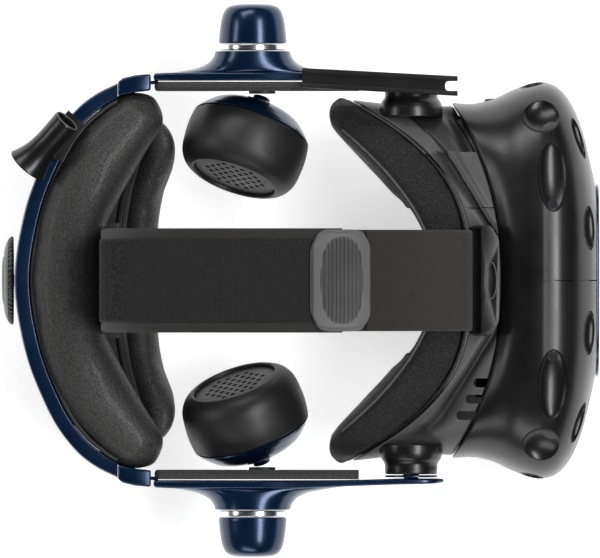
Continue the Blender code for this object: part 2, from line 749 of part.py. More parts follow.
def path_normals(path, square_ends=True):
    """Unit vectors across a plan path, pointing to the inside of the band."""
    normals = []
    for i in range(len(path)):
        before = path[max(i - 1, 0)]
        after = path[min(i + 1, len(path) - 1)]
        along = (after - before).normalized()
        normals.append(Vector((-along.y, along.x)))
    if square_ends:
        # Both ends are square to the arms, where the sleeves meet them.
        normals[0] = Vector((0.0, -1.0))
        normals[-1] = Vector((0.0, 1.0))
    return normals


def band_heights(y):
    share = band_share(y)
    middle = BAND_END_Z + (BAND_MIDDLE_Z - BAND_END_Z) * share
    half = BAND_END_HALF_HEIGHT + (BAND_MIDDLE_HALF_HEIGHT - BAND_END_HALF_HEIGHT) * share
    return middle, half


def sweep_band(offsets, inset=0.0):
    """Skin a section (depth, height share, height offset) along the band."""
    path = band_path()
    rings = []
    for point, normal in zip(path, path_normals(path)):
        middle, half = band_heights(point.y)
        ring = []
        for depth, share, offset in offsets:
            place = point + normal * depth
            ring.append((place.x, place.y, middle + share * (half - inset) + offset))
        rings.append(ring)
    return rings


def build_rear_band(materials):
    wall = BAND_WALL
    thick = BAND_THICKNESS
    lip = BAND_LIP
    section = [
        (1.0, 1.0, 0.0), (thick, 1.0, 0.0), (thick, 1.0, -lip), (wall, 1.0, -lip),
        (wall, -1.0, lip), (thick, -1.0, lip), (thick, -1.0, 0.0), (1.0, -1.0, 0.0),
        (0.0, -1.0, 2.4), (0.0, 1.0, -2.4),
    ]
    band = add_object("rear_band", loft(sweep_band(section)), materials["blue"])
    hole = turned([(3.6, 0.0), (3.6, 9.0)], (-142.0, 0.0, DIAL_Z), (1.0, 0.0, 0.0), 18)
    combine(band, hole)


def build_rear_frame(materials):
    first = BAND_THICKNESS + GAP
    second = first + 2.0
    section = [(first, 1.0, 0.0), (second, 1.0, 0.0), (second, -1.0, 0.0), (first, -1.0, 0.0)]
    add_object("rear_frame", loft(sweep_band(section, 1.5)), materials["dark"])


def build_band_sleeve(side, materials):
    name = SIDE_NAMES[side]
    plan = [(SLEEVE_FRONT, 92.4), (SLEEVE_FRONT, 100.4), (-80.0, 99.8), (-86.0, 98.4), (SLEEVE_BACK, 96.6),
            (SLEEVE_BACK, 89.6), (-80.0, 91.6)]
    plan = [(x, side * y) for x, y in plan]
    body = prism(plan, "Z", SLEEVE_Z - 12.8, SLEEVE_Z + 12.8)
    sleeve = add_object(f"band_sleeve_{name}", body, materials["blue"])
    low_y, high_y = sorted((side * (TONGUE_INNER - GAP), side * (TONGUE_OUTER + GAP)))
    slot = block((TONGUE_END - 0.8, low_y, SLEEVE_Z - TONGUE_HALF_HEIGHT - GAP),
                 (SLEEVE_FRONT + 3.0, high_y, SLEEVE_Z + TONGUE_HALF_HEIGHT + GAP))
    combine(sleeve, slot)


def cushion_ring(back, front, low, high, steps=10):
    """Rounded section between two plan points, standing from low to high."""
    back = Vector(back)
    front = Vector(front)
    middle = (back + front) / 2
    reach = (front - back) / 2
    ring = []
    for a, b in superellipse(1.0, 1.0, 2.6, steps):
        place = middle + reach * a
        ring.append((place.x, place.y, (low + high) / 2 + (high - low) / 2 * b))
    return ring


def smooth_stations(stations, steps=2):
    """Curve through stations of any number of values, from a cushion's left end to its middle."""
    values = []
    for first in range(0, len(stations[0]), 2):
        values.append(smooth_path([station[first:first + 2] for station in stations], steps))
    return [tuple(number for pair in row for number in pair) for row in zip(*values)]


def mirrored_rings(stations):
    stations = smooth_stations(stations)
    left = [cushion_ring((bx, by), (fx, fy), low, high) for bx, by, fx, fy, low, high in stations]
    right = [cushion_ring((bx, -by), (fx, -fy), low, high) for bx, by, fx, fy, low, high in stations]
    return left + right[::-1][1:]


UPPER_CUSHION = (
    # back point, front point, low, high
    (-75.5, 87.5, -70.0, 81.5, 68.0, 82.0),
    (-83.0, 87.2, -66.5, 75.5, 61.0, 88.0),
    (-95.5, 80.5, -72.5, 67.0, 57.0, 90.5),
    (-107.6, 68.0, -80.5, 54.0, 55.5, 92.5),
    (-117.5, 50.5, -89.5, 38.0, 54.5, 94.5),
    (-124.0, 31.0, -95.6, 24.0, 54.0, 94.5),
    (-128.4, 0.0, -97.2, 0.0, 54.0, 94.5),
)
LOWER_CUSHION = (
    (-72.6, 80.5, -66.0, 77.5, 47.0, 59.0),
    (-72.6, 75.0, -60.6, 67.0, 37.0, 60.5),
    (-76.0, 62.5, -62.8, 55.5, 25.0, 57.0),
    (-81.0, 46.5, -68.0, 42.5, 12.0, 51.0),
    (-84.6, 26.0, -70.8, 25.0, 3.0, 46.5),
    (-85.6, 0.0, -70.6, 0.0, 1.0, 45.0),
)
LOWER_CARRIER = (
    # outer edge, inner edge, low, high
    (-77.2, 88.6, -74.6, 87.4, 45.0, 58.0),
    (-78.0, 78.0, -75.2, 77.2, 39.0, 57.0),
    (-81.0, 63.6, -78.0, 62.6, 27.0, 55.0),
    (-86.0, 46.6, -82.8, 45.8, 12.0, 51.0),
    (-89.8, 27.0, -86.6, 26.6, 0.0, 46.0),
    (-90.4, 13.0, -87.2, 13.0, 0.0, 45.6),
    (-90.6, 0.0, -87.4, 0.0, 0.0, 45.6),
)


def build_rear_cushions(materials):
    add_object("upper_cushion", loft(mirrored_rings(UPPER_CUSHION)), materials["leatherette"])
    add_object("lower_cushion", loft(mirrored_rings(LOWER_CUSHION)), materials["leatherette"])


def build_lower_carrier(materials):
    """Hard strip behind the lower cushion; its flat underside carries the rear of the headset."""
    left = []
    right = []
    for ox, oy, ix, iy, low, high in smooth_stations(LOWER_CARRIER):
        low = max(low, 0.0) if oy > 27.0 else 0.0
        left.append([(ox, oy, low), (ix, iy, low), (ix, iy, high), (ox, oy, high)])
        right.append([(ox, -oy, low), (ix, -iy, low), (ix, -iy, high), (ox, -oy, high)])
    carrier = add_object("lower_carrier", loft(left + right[::-1][1:]), materials["dark"])
    combine(carrier, block((-98.0, -28.0, 44.5), (-87.6, 28.0, 50.6)), "UNION")


def gear_outline(radius, teeth, height):
    """Simple gear: narrow tapered teeth with a wide valley between them."""
    points = []
    for k in range(teeth):
        for share, level in ((-0.17, -0.5), (-0.1, 0.5), (0.1, 0.5), (0.17, -0.5)):
            angle = 2 * math.pi * (k + share) / teeth
            reach = radius + height * level
            points.append((reach * math.cos(angle), reach * math.sin(angle)))
    return points


def build_dial(materials):
    axis = (-139.6, 0.0, DIAL_Z)
    profile = [(3.0, 7.9), (3.0, 0.0), (20.0, 0.0), (DIAL_RADIUS, -1.0), (DIAL_RADIUS, -3.2),
               (DIAL_RADIUS - 2.0, -5.0), (12.0, -5.9), (4.0, -5.9)]
    add_object("fit_dial", turned(profile, axis, (1.0, 0.0, 0.0), 30), materials["shell"], axis)
    outline = [(a, DIAL_Z + b) for a, b in gear_outline(PINION_RADIUS, PINION_TEETH, TOOTH_HEIGHT)]
    pinion = add_object("dial_pinion", prism(outline, "X", RACK_REAR, RACK_FRONT), materials["dark"], axis)
    bore = turned([(3.0 + GAP, 0.0), (3.0 + GAP, 6.0)], (-135.0, 0.0, DIAL_Z), (1.0, 0.0, 0.0), 16)
    combine(pinion, bore)


def build_rack(side, materials):
    """Toothed end of one adjustment strip: the left one runs above the pinion, the right one below."""
    pitch = 2 * math.pi * PINION_RADIUS / PINION_TEETH
    base = PINION_RADIUS + TOOTH_HEIGHT * 0.5 + 0.3
    back = base + 3.4
    outline = [(-11.5, base), (-11.5, back), (10.5, back), (10.5, base)]
    teeth = []
    for k in range(3, -4, -1):
        middle = k * pitch
        teeth += [(middle + 0.17 * pitch, base), (middle + 0.09 * pitch, base - TOOTH_HEIGHT),
                  (middle - 0.09 * pitch, base - TOOTH_HEIGHT), (middle - 0.17 * pitch, base)]
    outline += teeth
    outline = [(side * a, DIAL_Z + side * b) for a, b in outline]
    rack = prism(outline, "X", RACK_REAR, RACK_FRONT)
    add_object(f"adjustment_rack_{SIDE_NAMES[side]}", rack, materials["dark"])


def build_cable_clip(materials):
    """Round guide with a flared mouth, on a saddle that hooks over the left of the band."""
    top = Vector(CLIP_TOP)
    along = Vector(CLIP_MOUTH) - top
    length = along.length
    outer = [(CLIP_RADIUS, 0.0), (CLIP_RADIUS, length * 0.55), (7.0, length * 0.75), (9.6, length)]
    bore = [(CLIP_BORE, -2.0), (CLIP_BORE, length * 0.5), (5.5, length * 0.72), (8.3, length + 0.1)]
    path = [point for point in band_side_path(LEFT, 3) if 60.0 < point.y < 82.0]
    rings = []
    for point, normal in zip(path, path_normals(path, square_ends=False)):
        middle, half = band_heights(point.y)
        top_edge = middle + half
        hook = BAND_THICKNESS + 2.2
        section = [(-2.4, -9.0), (-2.4, 3.4), (hook, 3.4), (hook, 0.5), (-0.5, 0.5), (-0.5, -9.0)]
        rings.append([(point.x + normal.x * depth, point.y + normal.y * depth, top_edge + rise)
                      for depth, rise in section])
    clip = add_object("cable_clip", turned(outer, top, along, 20), materials["shell"])
    combine(clip, loft(rings), "UNION")
    combine(clip, turned(bore, top, along, 16))


# ---------------------------------------------------------------- strap


def strap_stretch(start, end):
    """The part of the strap's path between two forward positions."""
    path = smooth_path(STRAP_PATH, 3)
    points = []
    for before, after in zip(path, path[1:]):
        for forward in (start, end):
            if before.x < forward <= after.x:
                points.append(before.lerp(after, (forward - before.x) / (after.x - before.x)))
        if start < after.x < end:
            points.append(after)
    return points


def strap_layer(name, path, lift, thickness, width, material, corner=0.0):
    """Strip along a path in the middle plane, lifted off it, its end corners cut if `corner`."""
    rings = []
    last = len(path) - 1
    for i, point in enumerate(path):
        along = (path[min(i + 1, last)] - path[max(i - 1, 0)]).normalized()
        normal = Vector((-along.y, along.x))
        low = point + normal * lift
        high = point + normal * (lift + thickness)
        half = width / 2
        if i in (0, last):
            half -= corner
        ring = [(low.x, -half), (low.x, half), (high.x, half), (high.x, -half)]
        rings.append([(x, y, z) for (x, y), z in zip(ring, (low.y, low.y, high.y, high.y))])
    return add_object(name, loft(rings), material)


def build_strap(materials):
    lift = STRAP_THICKNESS + STRAP_LAYER_GAP
    whole = smooth_path(STRAP_PATH, 3)
    folded = strap_stretch(UPPER_LAYER_START, STRAP_PATH[-1][0])
    tab = strap_stretch(PULL_TAB_START, PULL_TAB_END)
    strap_layer("strap_lower", whole, 0.0, STRAP_THICKNESS, STRAP_WIDTH, materials["webbing"])
    strap_layer("strap_upper", folded, lift, STRAP_THICKNESS, UPPER_LAYER_WIDTH, materials["webbing"])
    strap_layer("pull_tab", tab, lift, PULL_TAB_THICKNESS, UPPER_LAYER_WIDTH, materials["rubber"],
                PULL_TAB_CORNER)


# ---------------------------------------------------------------- earcups


def cup_direction(side):
    """Direction that the earcup faces: towards the ear, a little back and up."""
    flat = math.cos(CUP_LIFT)
    return Vector((-math.sin(CUP_YAW) * flat, -side * math.cos(CUP_YAW) * flat, math.sin(CUP_LIFT)))


def build_earcup(side, materials):
    name = SIDE_NAMES[side]
    centre = Vector((CUP_CENTRE[0], side * CUP_CENTRE[1], CUP_CENTRE[2]))
    facing = cup_direction(side)
    back = centre - facing * (CUP_DEPTH / 2)
    hinge = back - facing * NECK_LENGTH
    cap = [(2.0, -NECK_LENGTH), (4.4, 0.9 - NECK_LENGTH), (4.6, 0.0), (12.5, 1.0), (21.5, 4.6), (27.0, 9.8),
           (29.3, 13.0), (27.4, 13.0), (25.2, 10.6), (20.4, 7.0), (12.0, 3.8), (4.0, 3.2)]
    add_object(f"earcup_cap_{name}", turned(cap, back, facing, CUP_STEPS), materials["blue"], hinge)
    drum = [(29.4, 13.4), (30.0, 22.0), (29.3, 31.0), (26.4, 37.2), (21.4, 40.0), (20.7, 39.6),
            (20.7, 36.2), (25.4, 33.0), (27.4, 30.0), (27.4, 13.4)]
    drum_object = add_object(f"earcup_drum_{name}", turned(drum, back, facing, CUP_STEPS, closed=True),
                             materials["drum"], hinge)
    plate = turned([(20.3, 36.6), (20.3, 38.4)], back, facing, CUP_STEPS)
    grille = add_object(f"earcup_grille_{name}", plate, materials["drum"], hinge)
    combine(grille, grille_holes(back, facing))
    driver = [(18.0, 27.0), (19.0, 28.0), (19.0, 32.0), (8.0, 34.0)]
    add_object(f"speaker_driver_{name}", turned(driver, back, facing, 20), materials["board"], hinge)
    build_earcup_button(side, drum_object, back, facing, materials)
    build_hanger(side, hinge, materials)


def grille_holes(back, facing):
    """Hexagonal pattern of 37 round holes, as one set of separate pegs."""
    side, up, forward = axis_frame(facing)
    bm = bmesh.new()
    pitch = 4.7
    rows = 3
    for row in range(-rows, rows + 1):
        count = 2 * rows + 1 - abs(row)
        for column in range(count):
            a = (column - (count - 1) / 2) * pitch
            b = row * pitch * math.sqrt(3) / 2
            centre = back + side * a + up * b
            ring_sets = []
            for distance in (34.0, 41.0):
                ring_sets.append([bm.verts.new(centre + side * x + up * y + forward * distance)
                                  for x, y in circle_points(1.25, 1.25, 6)])
            low, high = ring_sets
            for i in range(6):
                j = (i + 1) % 6
                bm.faces.new((low[i], low[j], high[j], high[i]))
            bm.faces.new(low[::-1])
            bm.faces.new(high)
    return bm


def build_earcup_button(side, drum_object, back, facing, materials):
    across, up, forward = axis_frame(facing)
    outward = (-up * 0.8 + Vector((-0.6, 0.0, 0.0))).normalized()
    outward = (outward - forward * outward.dot(forward)).normalized()
    sideways = forward.cross(outward)
    length = 9.0 if side == LEFT else 4.0
    label = "volume_rocker" if side == LEFT else "microphone_button"

    def plate(half_length, half_width, low, high):
        corners = ((-1, -1), (1, -1), (1, 1), (-1, 1))
        rings = []
        for level in (low, high):
            middle = back + forward * 22.0 + outward * level
            rings.append([middle + sideways * a * half_length + forward * b * half_width for a, b in corners])
        return loft(rings)

    combine(drum_object, plate(length + GAP, 3.0 + GAP, 24.0, 34.0))
    origin = back + forward * 22.0 + outward * 30.0
    add_object(label, plate(length, 3.0, 27.6, 30.9), materials["dark"], origin)


def build_hanger(side, hinge, materials):
    """Flat hanger that slides up and down inside the arm and carries the earcup's pivot."""
    name = SIDE_NAMES[side]
    outline = rounded_outline((hinge.x, 62.0), (13.0, 40.0), 6.0, 4)
    low_y, high_y = sorted((side * 91.0, side * 93.3))
    add_object(f"earcup_hanger_{name}", prism(outline, "Y", low_y, high_y), materials["dark"],
               (hinge.x, side * 92.0, 62.0))


# ---------------------------------------------------------------- assembly


def main():
    clear_scene()
    materials = {
        "shell": make_material("black_satin_plastic", (0.012, 0.012, 0.013), 0.34),
        "dark": make_material("black_plastic", (0.02, 0.02, 0.022), 0.5),
        "grey": make_material("dark_grey_plastic", (0.06, 0.06, 0.062), 0.5),
        "blue": make_material("dark_blue_plastic", (0.006, 0.03, 0.085), 0.3),
        "drum": make_material("textured_black_plastic", (0.02, 0.02, 0.02), 0.6),
        "glass": make_material("camera_glass", (0.01, 0.01, 0.015), 0.05),
        "lens": make_material("lens_glass", (0.25, 0.28, 0.3), 0.05),
        "board": make_material("circuit_board", (0.02, 0.08, 0.04), 0.5),
        "foam": make_material("black_velour_foam", (0.012, 0.012, 0.012), 0.95),
        "rubber": make_material("grey_rubber", (0.1, 0.1, 0.1), 0.6),
        "felt": make_material("grey_arm_pad", (0.055, 0.055, 0.055), 0.85),
        "leatherette": make_material("grey_leatherette", (0.045, 0.045, 0.045), 0.7),
        "webbing": make_material("brown_black_webbing", (0.018, 0.013, 0.011), 0.85),
        "chrome": make_material("bright_ring", (0.75, 0.76, 0.78), 0.15, 1.0),
    }
    build_visor_shell(materials)
    build_front_plate(materials)
    build_visor_electronics(materials)
    build_visor_controls(materials)
    build_carriage(materials)
    build_face_gasket(materials)
    build_nose_gasket(materials)
    build_strap_bracket(materials)
    build_cable_channel(materials)
    build_rear_band(materials)
    build_rear_frame(materials)
    build_rear_cushions(materials)
    build_lower_carrier(materials)
    build_dial(materials)
    build_cable_clip(materials)
    build_strap(materials)
    for side in (LEFT, RIGHT):
        build_optics(side, materials)
        build_tilt_hub(side, materials)
        build_arm(side, materials)
        build_arm_pad(side, materials)
        build_hub_trim(side, materials)
        build_band_sleeve(side, materials)
        build_rack(side, materials)
        build_earcup(side, materials)


main()
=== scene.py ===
"""Looks of the VR headset: detailed pieces, materials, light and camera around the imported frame.

Shapes are worked out in millimetres and placed in metres. +X is forward, +Y is the wearer's left, +Z is up.
"""

import json
import math

import bmesh
import bpy
import numpy as np
from mathutils import Matrix, Vector, noise

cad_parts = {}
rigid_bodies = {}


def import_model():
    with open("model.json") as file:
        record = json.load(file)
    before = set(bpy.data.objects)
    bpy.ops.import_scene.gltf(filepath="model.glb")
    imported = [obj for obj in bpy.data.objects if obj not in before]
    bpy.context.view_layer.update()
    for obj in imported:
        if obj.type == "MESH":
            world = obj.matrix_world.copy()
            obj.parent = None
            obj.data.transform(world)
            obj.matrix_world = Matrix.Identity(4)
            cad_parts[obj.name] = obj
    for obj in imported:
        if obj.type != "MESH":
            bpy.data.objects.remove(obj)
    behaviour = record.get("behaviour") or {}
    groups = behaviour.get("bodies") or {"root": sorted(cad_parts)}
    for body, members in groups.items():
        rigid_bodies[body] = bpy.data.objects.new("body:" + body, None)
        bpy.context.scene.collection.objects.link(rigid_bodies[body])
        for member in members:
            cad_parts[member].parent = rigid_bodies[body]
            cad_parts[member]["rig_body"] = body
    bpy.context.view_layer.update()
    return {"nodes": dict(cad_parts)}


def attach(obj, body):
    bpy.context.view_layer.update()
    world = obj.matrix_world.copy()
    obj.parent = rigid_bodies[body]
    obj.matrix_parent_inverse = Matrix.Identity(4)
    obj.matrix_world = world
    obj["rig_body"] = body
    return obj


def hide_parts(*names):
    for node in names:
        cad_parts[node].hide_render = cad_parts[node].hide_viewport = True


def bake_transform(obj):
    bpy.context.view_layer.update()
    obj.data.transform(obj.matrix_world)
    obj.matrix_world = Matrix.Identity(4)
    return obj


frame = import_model()

MM = 0.001
LEFT = 1
RIGHT = -1
SIDE_NAMES = {LEFT: "left", RIGHT: "right"}

# Visor, as in the CAD model.
SHELL_STATIONS = (
    # forward, half width, half height
    (74.0, 86.5, 52.0), (84.0, 86.0, 56.0), (94.0, 88.2, 58.4), (103.0, 92.4, 59.8), (112.0, 95.8, 60.4),
    (119.0, 96.5, 60.4), (126.0, 93.6, 59.4), (132.5, 85.5, 56.0), (137.5, 73.0, 51.0),
    (141.5, 57.0, 44.5), (144.0, 45.5, 37.5),
)
SHELL_HALF_WIDTH = 96.5
SHELL_HALF_HEIGHT = 60.4
SHELL_FLANK = 96.0
SHELL_REAR_BOW = 24.0
SHELL_REAR_POWER = 2.25
SHELL_REAR_WIDTH = 86.5
SHELL_WIDEST = 119.0
SHELL_WALL = 5.0
VISOR_MIDDLE = 58.5
VISOR_SQUARENESS = 3.2
DIMPLE_DEPTH = 4.3
TOP_DIMPLES = ((117.7, 80.1, 10.0, 10.0), (122.7, 50.4, 7.6, 17.6))
FRONT_DIMPLES = ((69.0, 95.5, 10.5, 6.6), (25.5, 103.5, 10.8, 6.6), (30.0, 14.0, 10.0, 6.5),
                 (72.0, 34.0, 8.0, 8.0))
# Where a dimple's sensor window sits, as shares of its radii across and along.
TOP_WINDOWS = ((0.36, -0.42), (0.0, -0.78))
FRONT_WINDOW = (0.1, -0.5)
SIDE_WINDOW = (0.1, 0.4)
SIDE_DIMPLES = ((112.0, 76.0, 6.5, 9.0), (112.0, 40.0, 6.5, 9.0))
SHELL_SPACING = 1.5
SEAM_WIDTH = 0.5
SEAM_START = 116.5
SEAM_ABOVE = 1.5
SEAM_BELOW = 2.4
PLATE_FACE = 144.35
PLATE_THICKNESS = 1.15
CAMERA_Y = 32.0
CAMERA_RADIUS = 6.0
PLATE_HALF_WIDTH = 47.0
PLATE_HALF_HEIGHT = 30.0
PLATE_SQUARENESS = 3.0
SYSTEM_BUTTON = (96.0, 83.5, 52.0)
BUTTON_HOLE_RADIUS = 6.35
KNOB = (92.5, -86.3, 40.0)
KNOB_RIBS = 36
LENS_X = 86.0
LENS_RADIUS = 23.0
LENS_DOME = 2.4
LENS_RINGS = 40
BARREL_X = 88.5

# Carriage and gasket.
CARRIAGE_SEAM_GAP = 0.6
CARRIAGE_HALF_WIDTH = 85.0
CARRIAGE_HALF_HEIGHT = 50.0
VENT_HALF_WIDTH = 2.2
CREASE_Y = (20.0, 26.0, 35.0, 44.4, 57.3, 62.6, 70.0, 83.5, 90.0)
CREASE_X = (97.0, 93.0, 87.3, 81.8, 73.8, 70.5, 64.5, 50.5, 43.0)
PANEL_STEP_Y = 62.6
FOAM_TO_CARRIAGE = 2.9
BRACKET_LOW = 106.0
BRACKET_TOP = 119.5
OVAL_X = 92.4
PANEL_LINE_Y = 35.3
VENTS = ((88.4, -49.7, 8.4), (84.8, -57.6, 8.6), (80.9, -65.6, 10.0))
FOAM_FRONT = 80.4
FOAM_FRONT_SWEEP = 62.6
FOAM_FACE = 66.0
FOAM_FACE_SWEEP = 53.0
FOAM_FRONT_HALF = 90.0
FOAM_FACE_HALF = 79.0
CHEEK_REACH = 4.0
CUSHION_SECTION = (
    # half width, half height, which of the foam's two sides it follows, how far in front of that
    (90.0, 49.4, "front", 0.4), (80.4, 47.8, "face", 0.0),
    (58.0, 33.8, "face", 0.2), (61.6, 34.8, "front", 0.4),
)
GASKET_SECTION = (
    (60.6, 33.6, "front", 0.7), (88.0, 50.0, "front", 0.7),
    (88.0, 50.0, "front", 2.3), (60.6, 33.6, "front", 2.3),
)
NOSE_GAP_EDGE = math.radians(58.0)
EYE_OFFSET = 32.0

# Arms and hubs.
PIVOT = (54.0, 84.0)
HUB = (-23.0, 80.0)
HUB_NECK_RADIUS = 18.25
HUB_NECK_END = 111.4
HUB_STEPS = 96
# Sideways places where the hub, its washer, its bright ring and its cap begin.
HUB_FACE = 85.6
WASHER_FACE = 94.7
RING_FACE = 111.9
CAP_FACE = 115.2
ARM_STATIONS = (
    # forward, inner face, outer face, middle height, half height
    (69.0, 96.5, 98.2, 84.0, 5.0), (66.5, 96.3, 98.6, 84.0, 9.0), (61.0, 96.3, 98.9, 84.0, 11.8),
    (48.0, 96.3, 99.2, 84.0, 12.7), (24.0, 97.0, 100.0, 82.6, 13.6), (0.0, 97.2, 101.0, 81.0, 15.5),
    (-23.0, 97.2, 101.2, 80.0, 17.5), (-46.0, 97.2, 101.2, 78.6, 15.5), (-62.0, 97.2, 101.0, 77.4, 13.5),
    (-70.3, 97.2, 100.7, 76.6, 12.5),
)
ARM_PAD_STATIONS = ((28.6, 9.0), (26.0, 11.6), (0.0, 14.8), (-23.0, 16.6), (-46.0, 14.8), (-66.0, 12.6),
                    (-69.4, 9.6))

# Rear band and cushions.
BAND_PATH = ((-88.8, 96.0), (-99.5, 90.6), (-109.0, 83.0), (-118.5, 70.8), (-126.0, 56.0), (-132.4, 39.5),
             (-136.6, 22.0), (-138.5, 9.0), (-139.0, 0.0))
BAND_THICKNESS = 7.3
BAND_WALL = 3.0
BAND_LIP = 2.2
BAND_REACH = 96.0
# Middle height and half height of the band at its ends and at its rear.
BAND_END = (76.0, 12.5)
BAND_REAR = (52.0, 33.0)
DIAL_Z = 50.0
UPPER_CUSHION = (
    # back point, front point, low, high
    (-75.5, 88.6, -69.0, 81.0, 66.0, 83.0), (-84.0, 89.2, -65.8, 76.5, 61.0, 88.0),
    (-95.5, 80.5, -72.5, 67.0, 57.0, 90.5), (-107.6, 68.0, -80.5, 54.0, 55.5, 92.5),
    (-117.5, 50.5, -89.5, 38.0, 54.5, 94.5), (-124.0, 31.0, -95.6, 24.0, 54.0, 94.5),
    (-128.4, 0.0, -97.2, 0.0, 54.0, 94.5),
)
LOWER_CUSHION = (
    (-72.6, 80.5, -66.0, 77.5, 47.0, 59.0), (-72.6, 75.0, -60.6, 67.0, 37.0, 60.5),
    (-76.0, 62.5, -62.8, 55.5, 25.0, 57.0), (-81.0, 46.5, -68.0, 42.5, 12.0, 51.0),
    (-84.6, 26.0, -70.8, 25.0, 3.0, 46.5), (-85.6, 0.0, -70.6, 0.0, 1.0, 45.0),
)
GAP_SHADE_HALF_WIDTH = 74.0
LOWER_CARRIER = (
    # outer edge, inner edge, low, high
    (-77.2, 88.6, -74.6, 87.4, 45.0, 58.0), (-78.0, 78.0, -75.2, 77.2, 39.0, 57.0),
    (-81.0, 63.6, -78.0, 62.6, 27.0, 55.0), (-86.0, 46.6, -82.8, 45.8, 12.0, 51.0),
    (-89.8, 27.0, -86.6, 26.6, 2.0, 46.0), (-90.4, 13.0, -87.2, 13.0, 0.0, 45.6),
    (-90.6, 0.0, -87.4, 0.0, 0.0, 45.6),
)
CLIP_TOP = (-113.2, 77.4, 100.0)
CLIP_MOUTH = (-132.2, 56.0, 91.5)

# Top strap.
STRAP_WIDTH = 50.4
STRAP_THICKNESS = 2.2
STRAP_PATH = ((-92.4, 51.5), (-92.4, 84.0), (-94.4, 112.0), (-91.0, 135.0), (-78.0, 157.0),
              (-52.0, 172.0),
              (-15.0, 179.0), (20.0, 176.0), (50.0, 162.0), (67.0, 146.0), (75.4, 132.5), (78.4, 121.5),
              (79.0, 113.6))
STRAP_JOIN = 20.0
FOLD_END = 78.9
LOOP_PANEL_HALF_WIDTH = 20.2
LOOP_PANEL_END = 7.0
LOOP_RIB_PITCH = 1.15
TAB_START = 4.4
TAB_END = 32.6
TAB_RIBS = 11
TAB_HALF_WIDTH = 24.6

# Earcups.
CUP_CENTRE = (-26.0, 67.4, 56.0)
CUP_YAW = math.radians(19.0)
CUP_LIFT = math.radians(18.0)
CUP_DEPTH = 40.0
HOLE_PITCH = 4.7
HOLE_RADIUS = 1.25
CUP_STEPS = 120

# View and light, in metres.
VIEW_WIDTH = 0.2916
VIEW_CENTRE_Y = 0.0007
VIEW_PLANE = 0.09
VIEW_DISTANCE = 12.0
SENSOR_WIDTH = 36.0
FLOOR_GLOW = 0.62
WORLD_GLOW = 0.035
LIGHTS = (
    # name, tilt, heading, distance, size, power
    ("front_strip", 26.0, 0.0, 2.2, (0.50, 2.2), 44.0),
    ("left_box", 54.0, 112.0, 2.4, (0.7, 1.6), 20.0),
    ("right_box", 60.0, -105.0, 2.4, (0.6, 1.6), 13.0),
    ("rear_box", 62.0, 172.0, 2.4, (0.5, 1.2), 9.0),
)
# Floor half size and height, in millimetres.
FLOOR_SIZE = 6000.0
FLOOR_Z = -0.2


# Profiles and sections of turned pieces are (radius, distance along the axis).
# Outlines and slots are corner points. PLATE_STEPS holds (share of the outline, forward),
# HUB_FLARE (outward, half length, half height) and BAND_LINER_SECTION (depth, height share, offset).
BUTTON_PROFILE = ((0.0, 4.9), (3.6, 4.95), (4.4, 5.1), (5.3, 5.0), (6.0, 4.5), (6.0, 0.0), (0.0, 0.0))
PLATE_STEPS = ((1.0, 0.0), (1.0, 0.6), (0.993, 0.95), (0.98, PLATE_THICKNESS))
CAMERA_PROFILE = ((0.0, 1.1), (2.4, 1.05), (4.4, 0.85), (4.9, 0.6), (5.2, 0.95), (5.9, 0.9), (6.0, 0.6),
                  (6.0, 0.0))
KNOB_PROFILE = ((0.0, 0.0), (9.0, 0.0), (9.0, 2.5), (3.0, 2.5), (3.0, 22.0), (0.0, 22.0))
KNOB_POCKET = ((9.35, 0.0), (9.35, 16.6), (3.35, 16.6), (3.35, 22.0))
RELIEF_SLOT = ((106.65, 30.65), (117.35, 30.65), (117.35, 45.35), (106.65, 45.35))
BARREL_SECTION = ((20.5, 3.0), (23.5, 2.6), (23.5, -3.0), (25.0, -3.0), (25.0, 22.0), (20.5, 22.0))
BRACKET_OUTLINE = ((79.6, 22.0), (83.5, 27.0), (92.5, 27.0), (96.6, 20.0), (96.6, -20.0), (92.5, -27.0),
                   (83.5, -27.0), (79.6, -22.0))
BRACKET_SLOT = ((77.0, -25.7), (87.6, -25.7), (87.6, 25.7), (77.0, 25.7))
HUB_FLANGE = ((0.0, -6.0), (15.6, -6.0), (15.2, -1.4), (14.4, 1.2), (13.0, 3.0), (12.7, 4.6),
              (12.7, 8.6), (3.6, 8.6), (3.6, 13.1), (0.0, 13.1))
WASHER_SECTION = ((4.0, 0.0), (12.9, 0.0), (12.9, 1.0), (4.0, 1.0))
HUB_FLARE = ((100.0, 46.0, 14.0), (100.9, 40.0, 15.6), (101.7, 35.0, 16.6), (103.2, 27.5, 17.4),
             (105.6, 22.0, 17.9), (108.6, 19.2, 18.2), (111.4, 18.25, 18.25))
PIVOT_BORE = ((0.0, 0.0), (4.0, 0.0), (4.0, 12.0), (0.0, 12.0))
RING_SECTION = ((0.0, 0.0), (16.2, 0.0), (16.2, 2.9), (0.0, 2.9))
HUB_CAP_PROFILE = ((0.0, 19.3), (5.0, 19.25), (9.0, 19.0), (12.2, 17.8), (14.0, 15.6), (15.2, 12.0),
                   (16.0, 7.0), (16.55, 1.2))
HUB_CAP_END = ((16.4, 0.35), (15.9, 0.0), (0.0, 0.0))
GUTTER_PATH = ((76.5, 94.4, 97.3), (54.0, 95.6, 97.3), (28.0, 97.0, 97.1), (1.0, 98.4, 97.0))
GUTTER_SECTION = ((-4.8, 0.0), (4.8, 0.0), (4.8, 9.0), (2.4, 9.0), (2.4, 7.5), (3.3, 7.5), (3.3, 1.5),
                  (-3.3, 1.5), (-3.3, 7.5), (-2.4, 7.5), (-2.4, 9.0), (-4.8, 9.0))
FORK_SLOT = ((70.5, 92.0), (80.0, 92.0), (80.0, 96.8), (70.5, 96.8))
BAND_LINER_SECTION = ((7.65, 1.0, 0.0), (9.65, 1.0, 0.0), (9.65, -1.0, 0.0), (7.65, -1.0, 0.0))
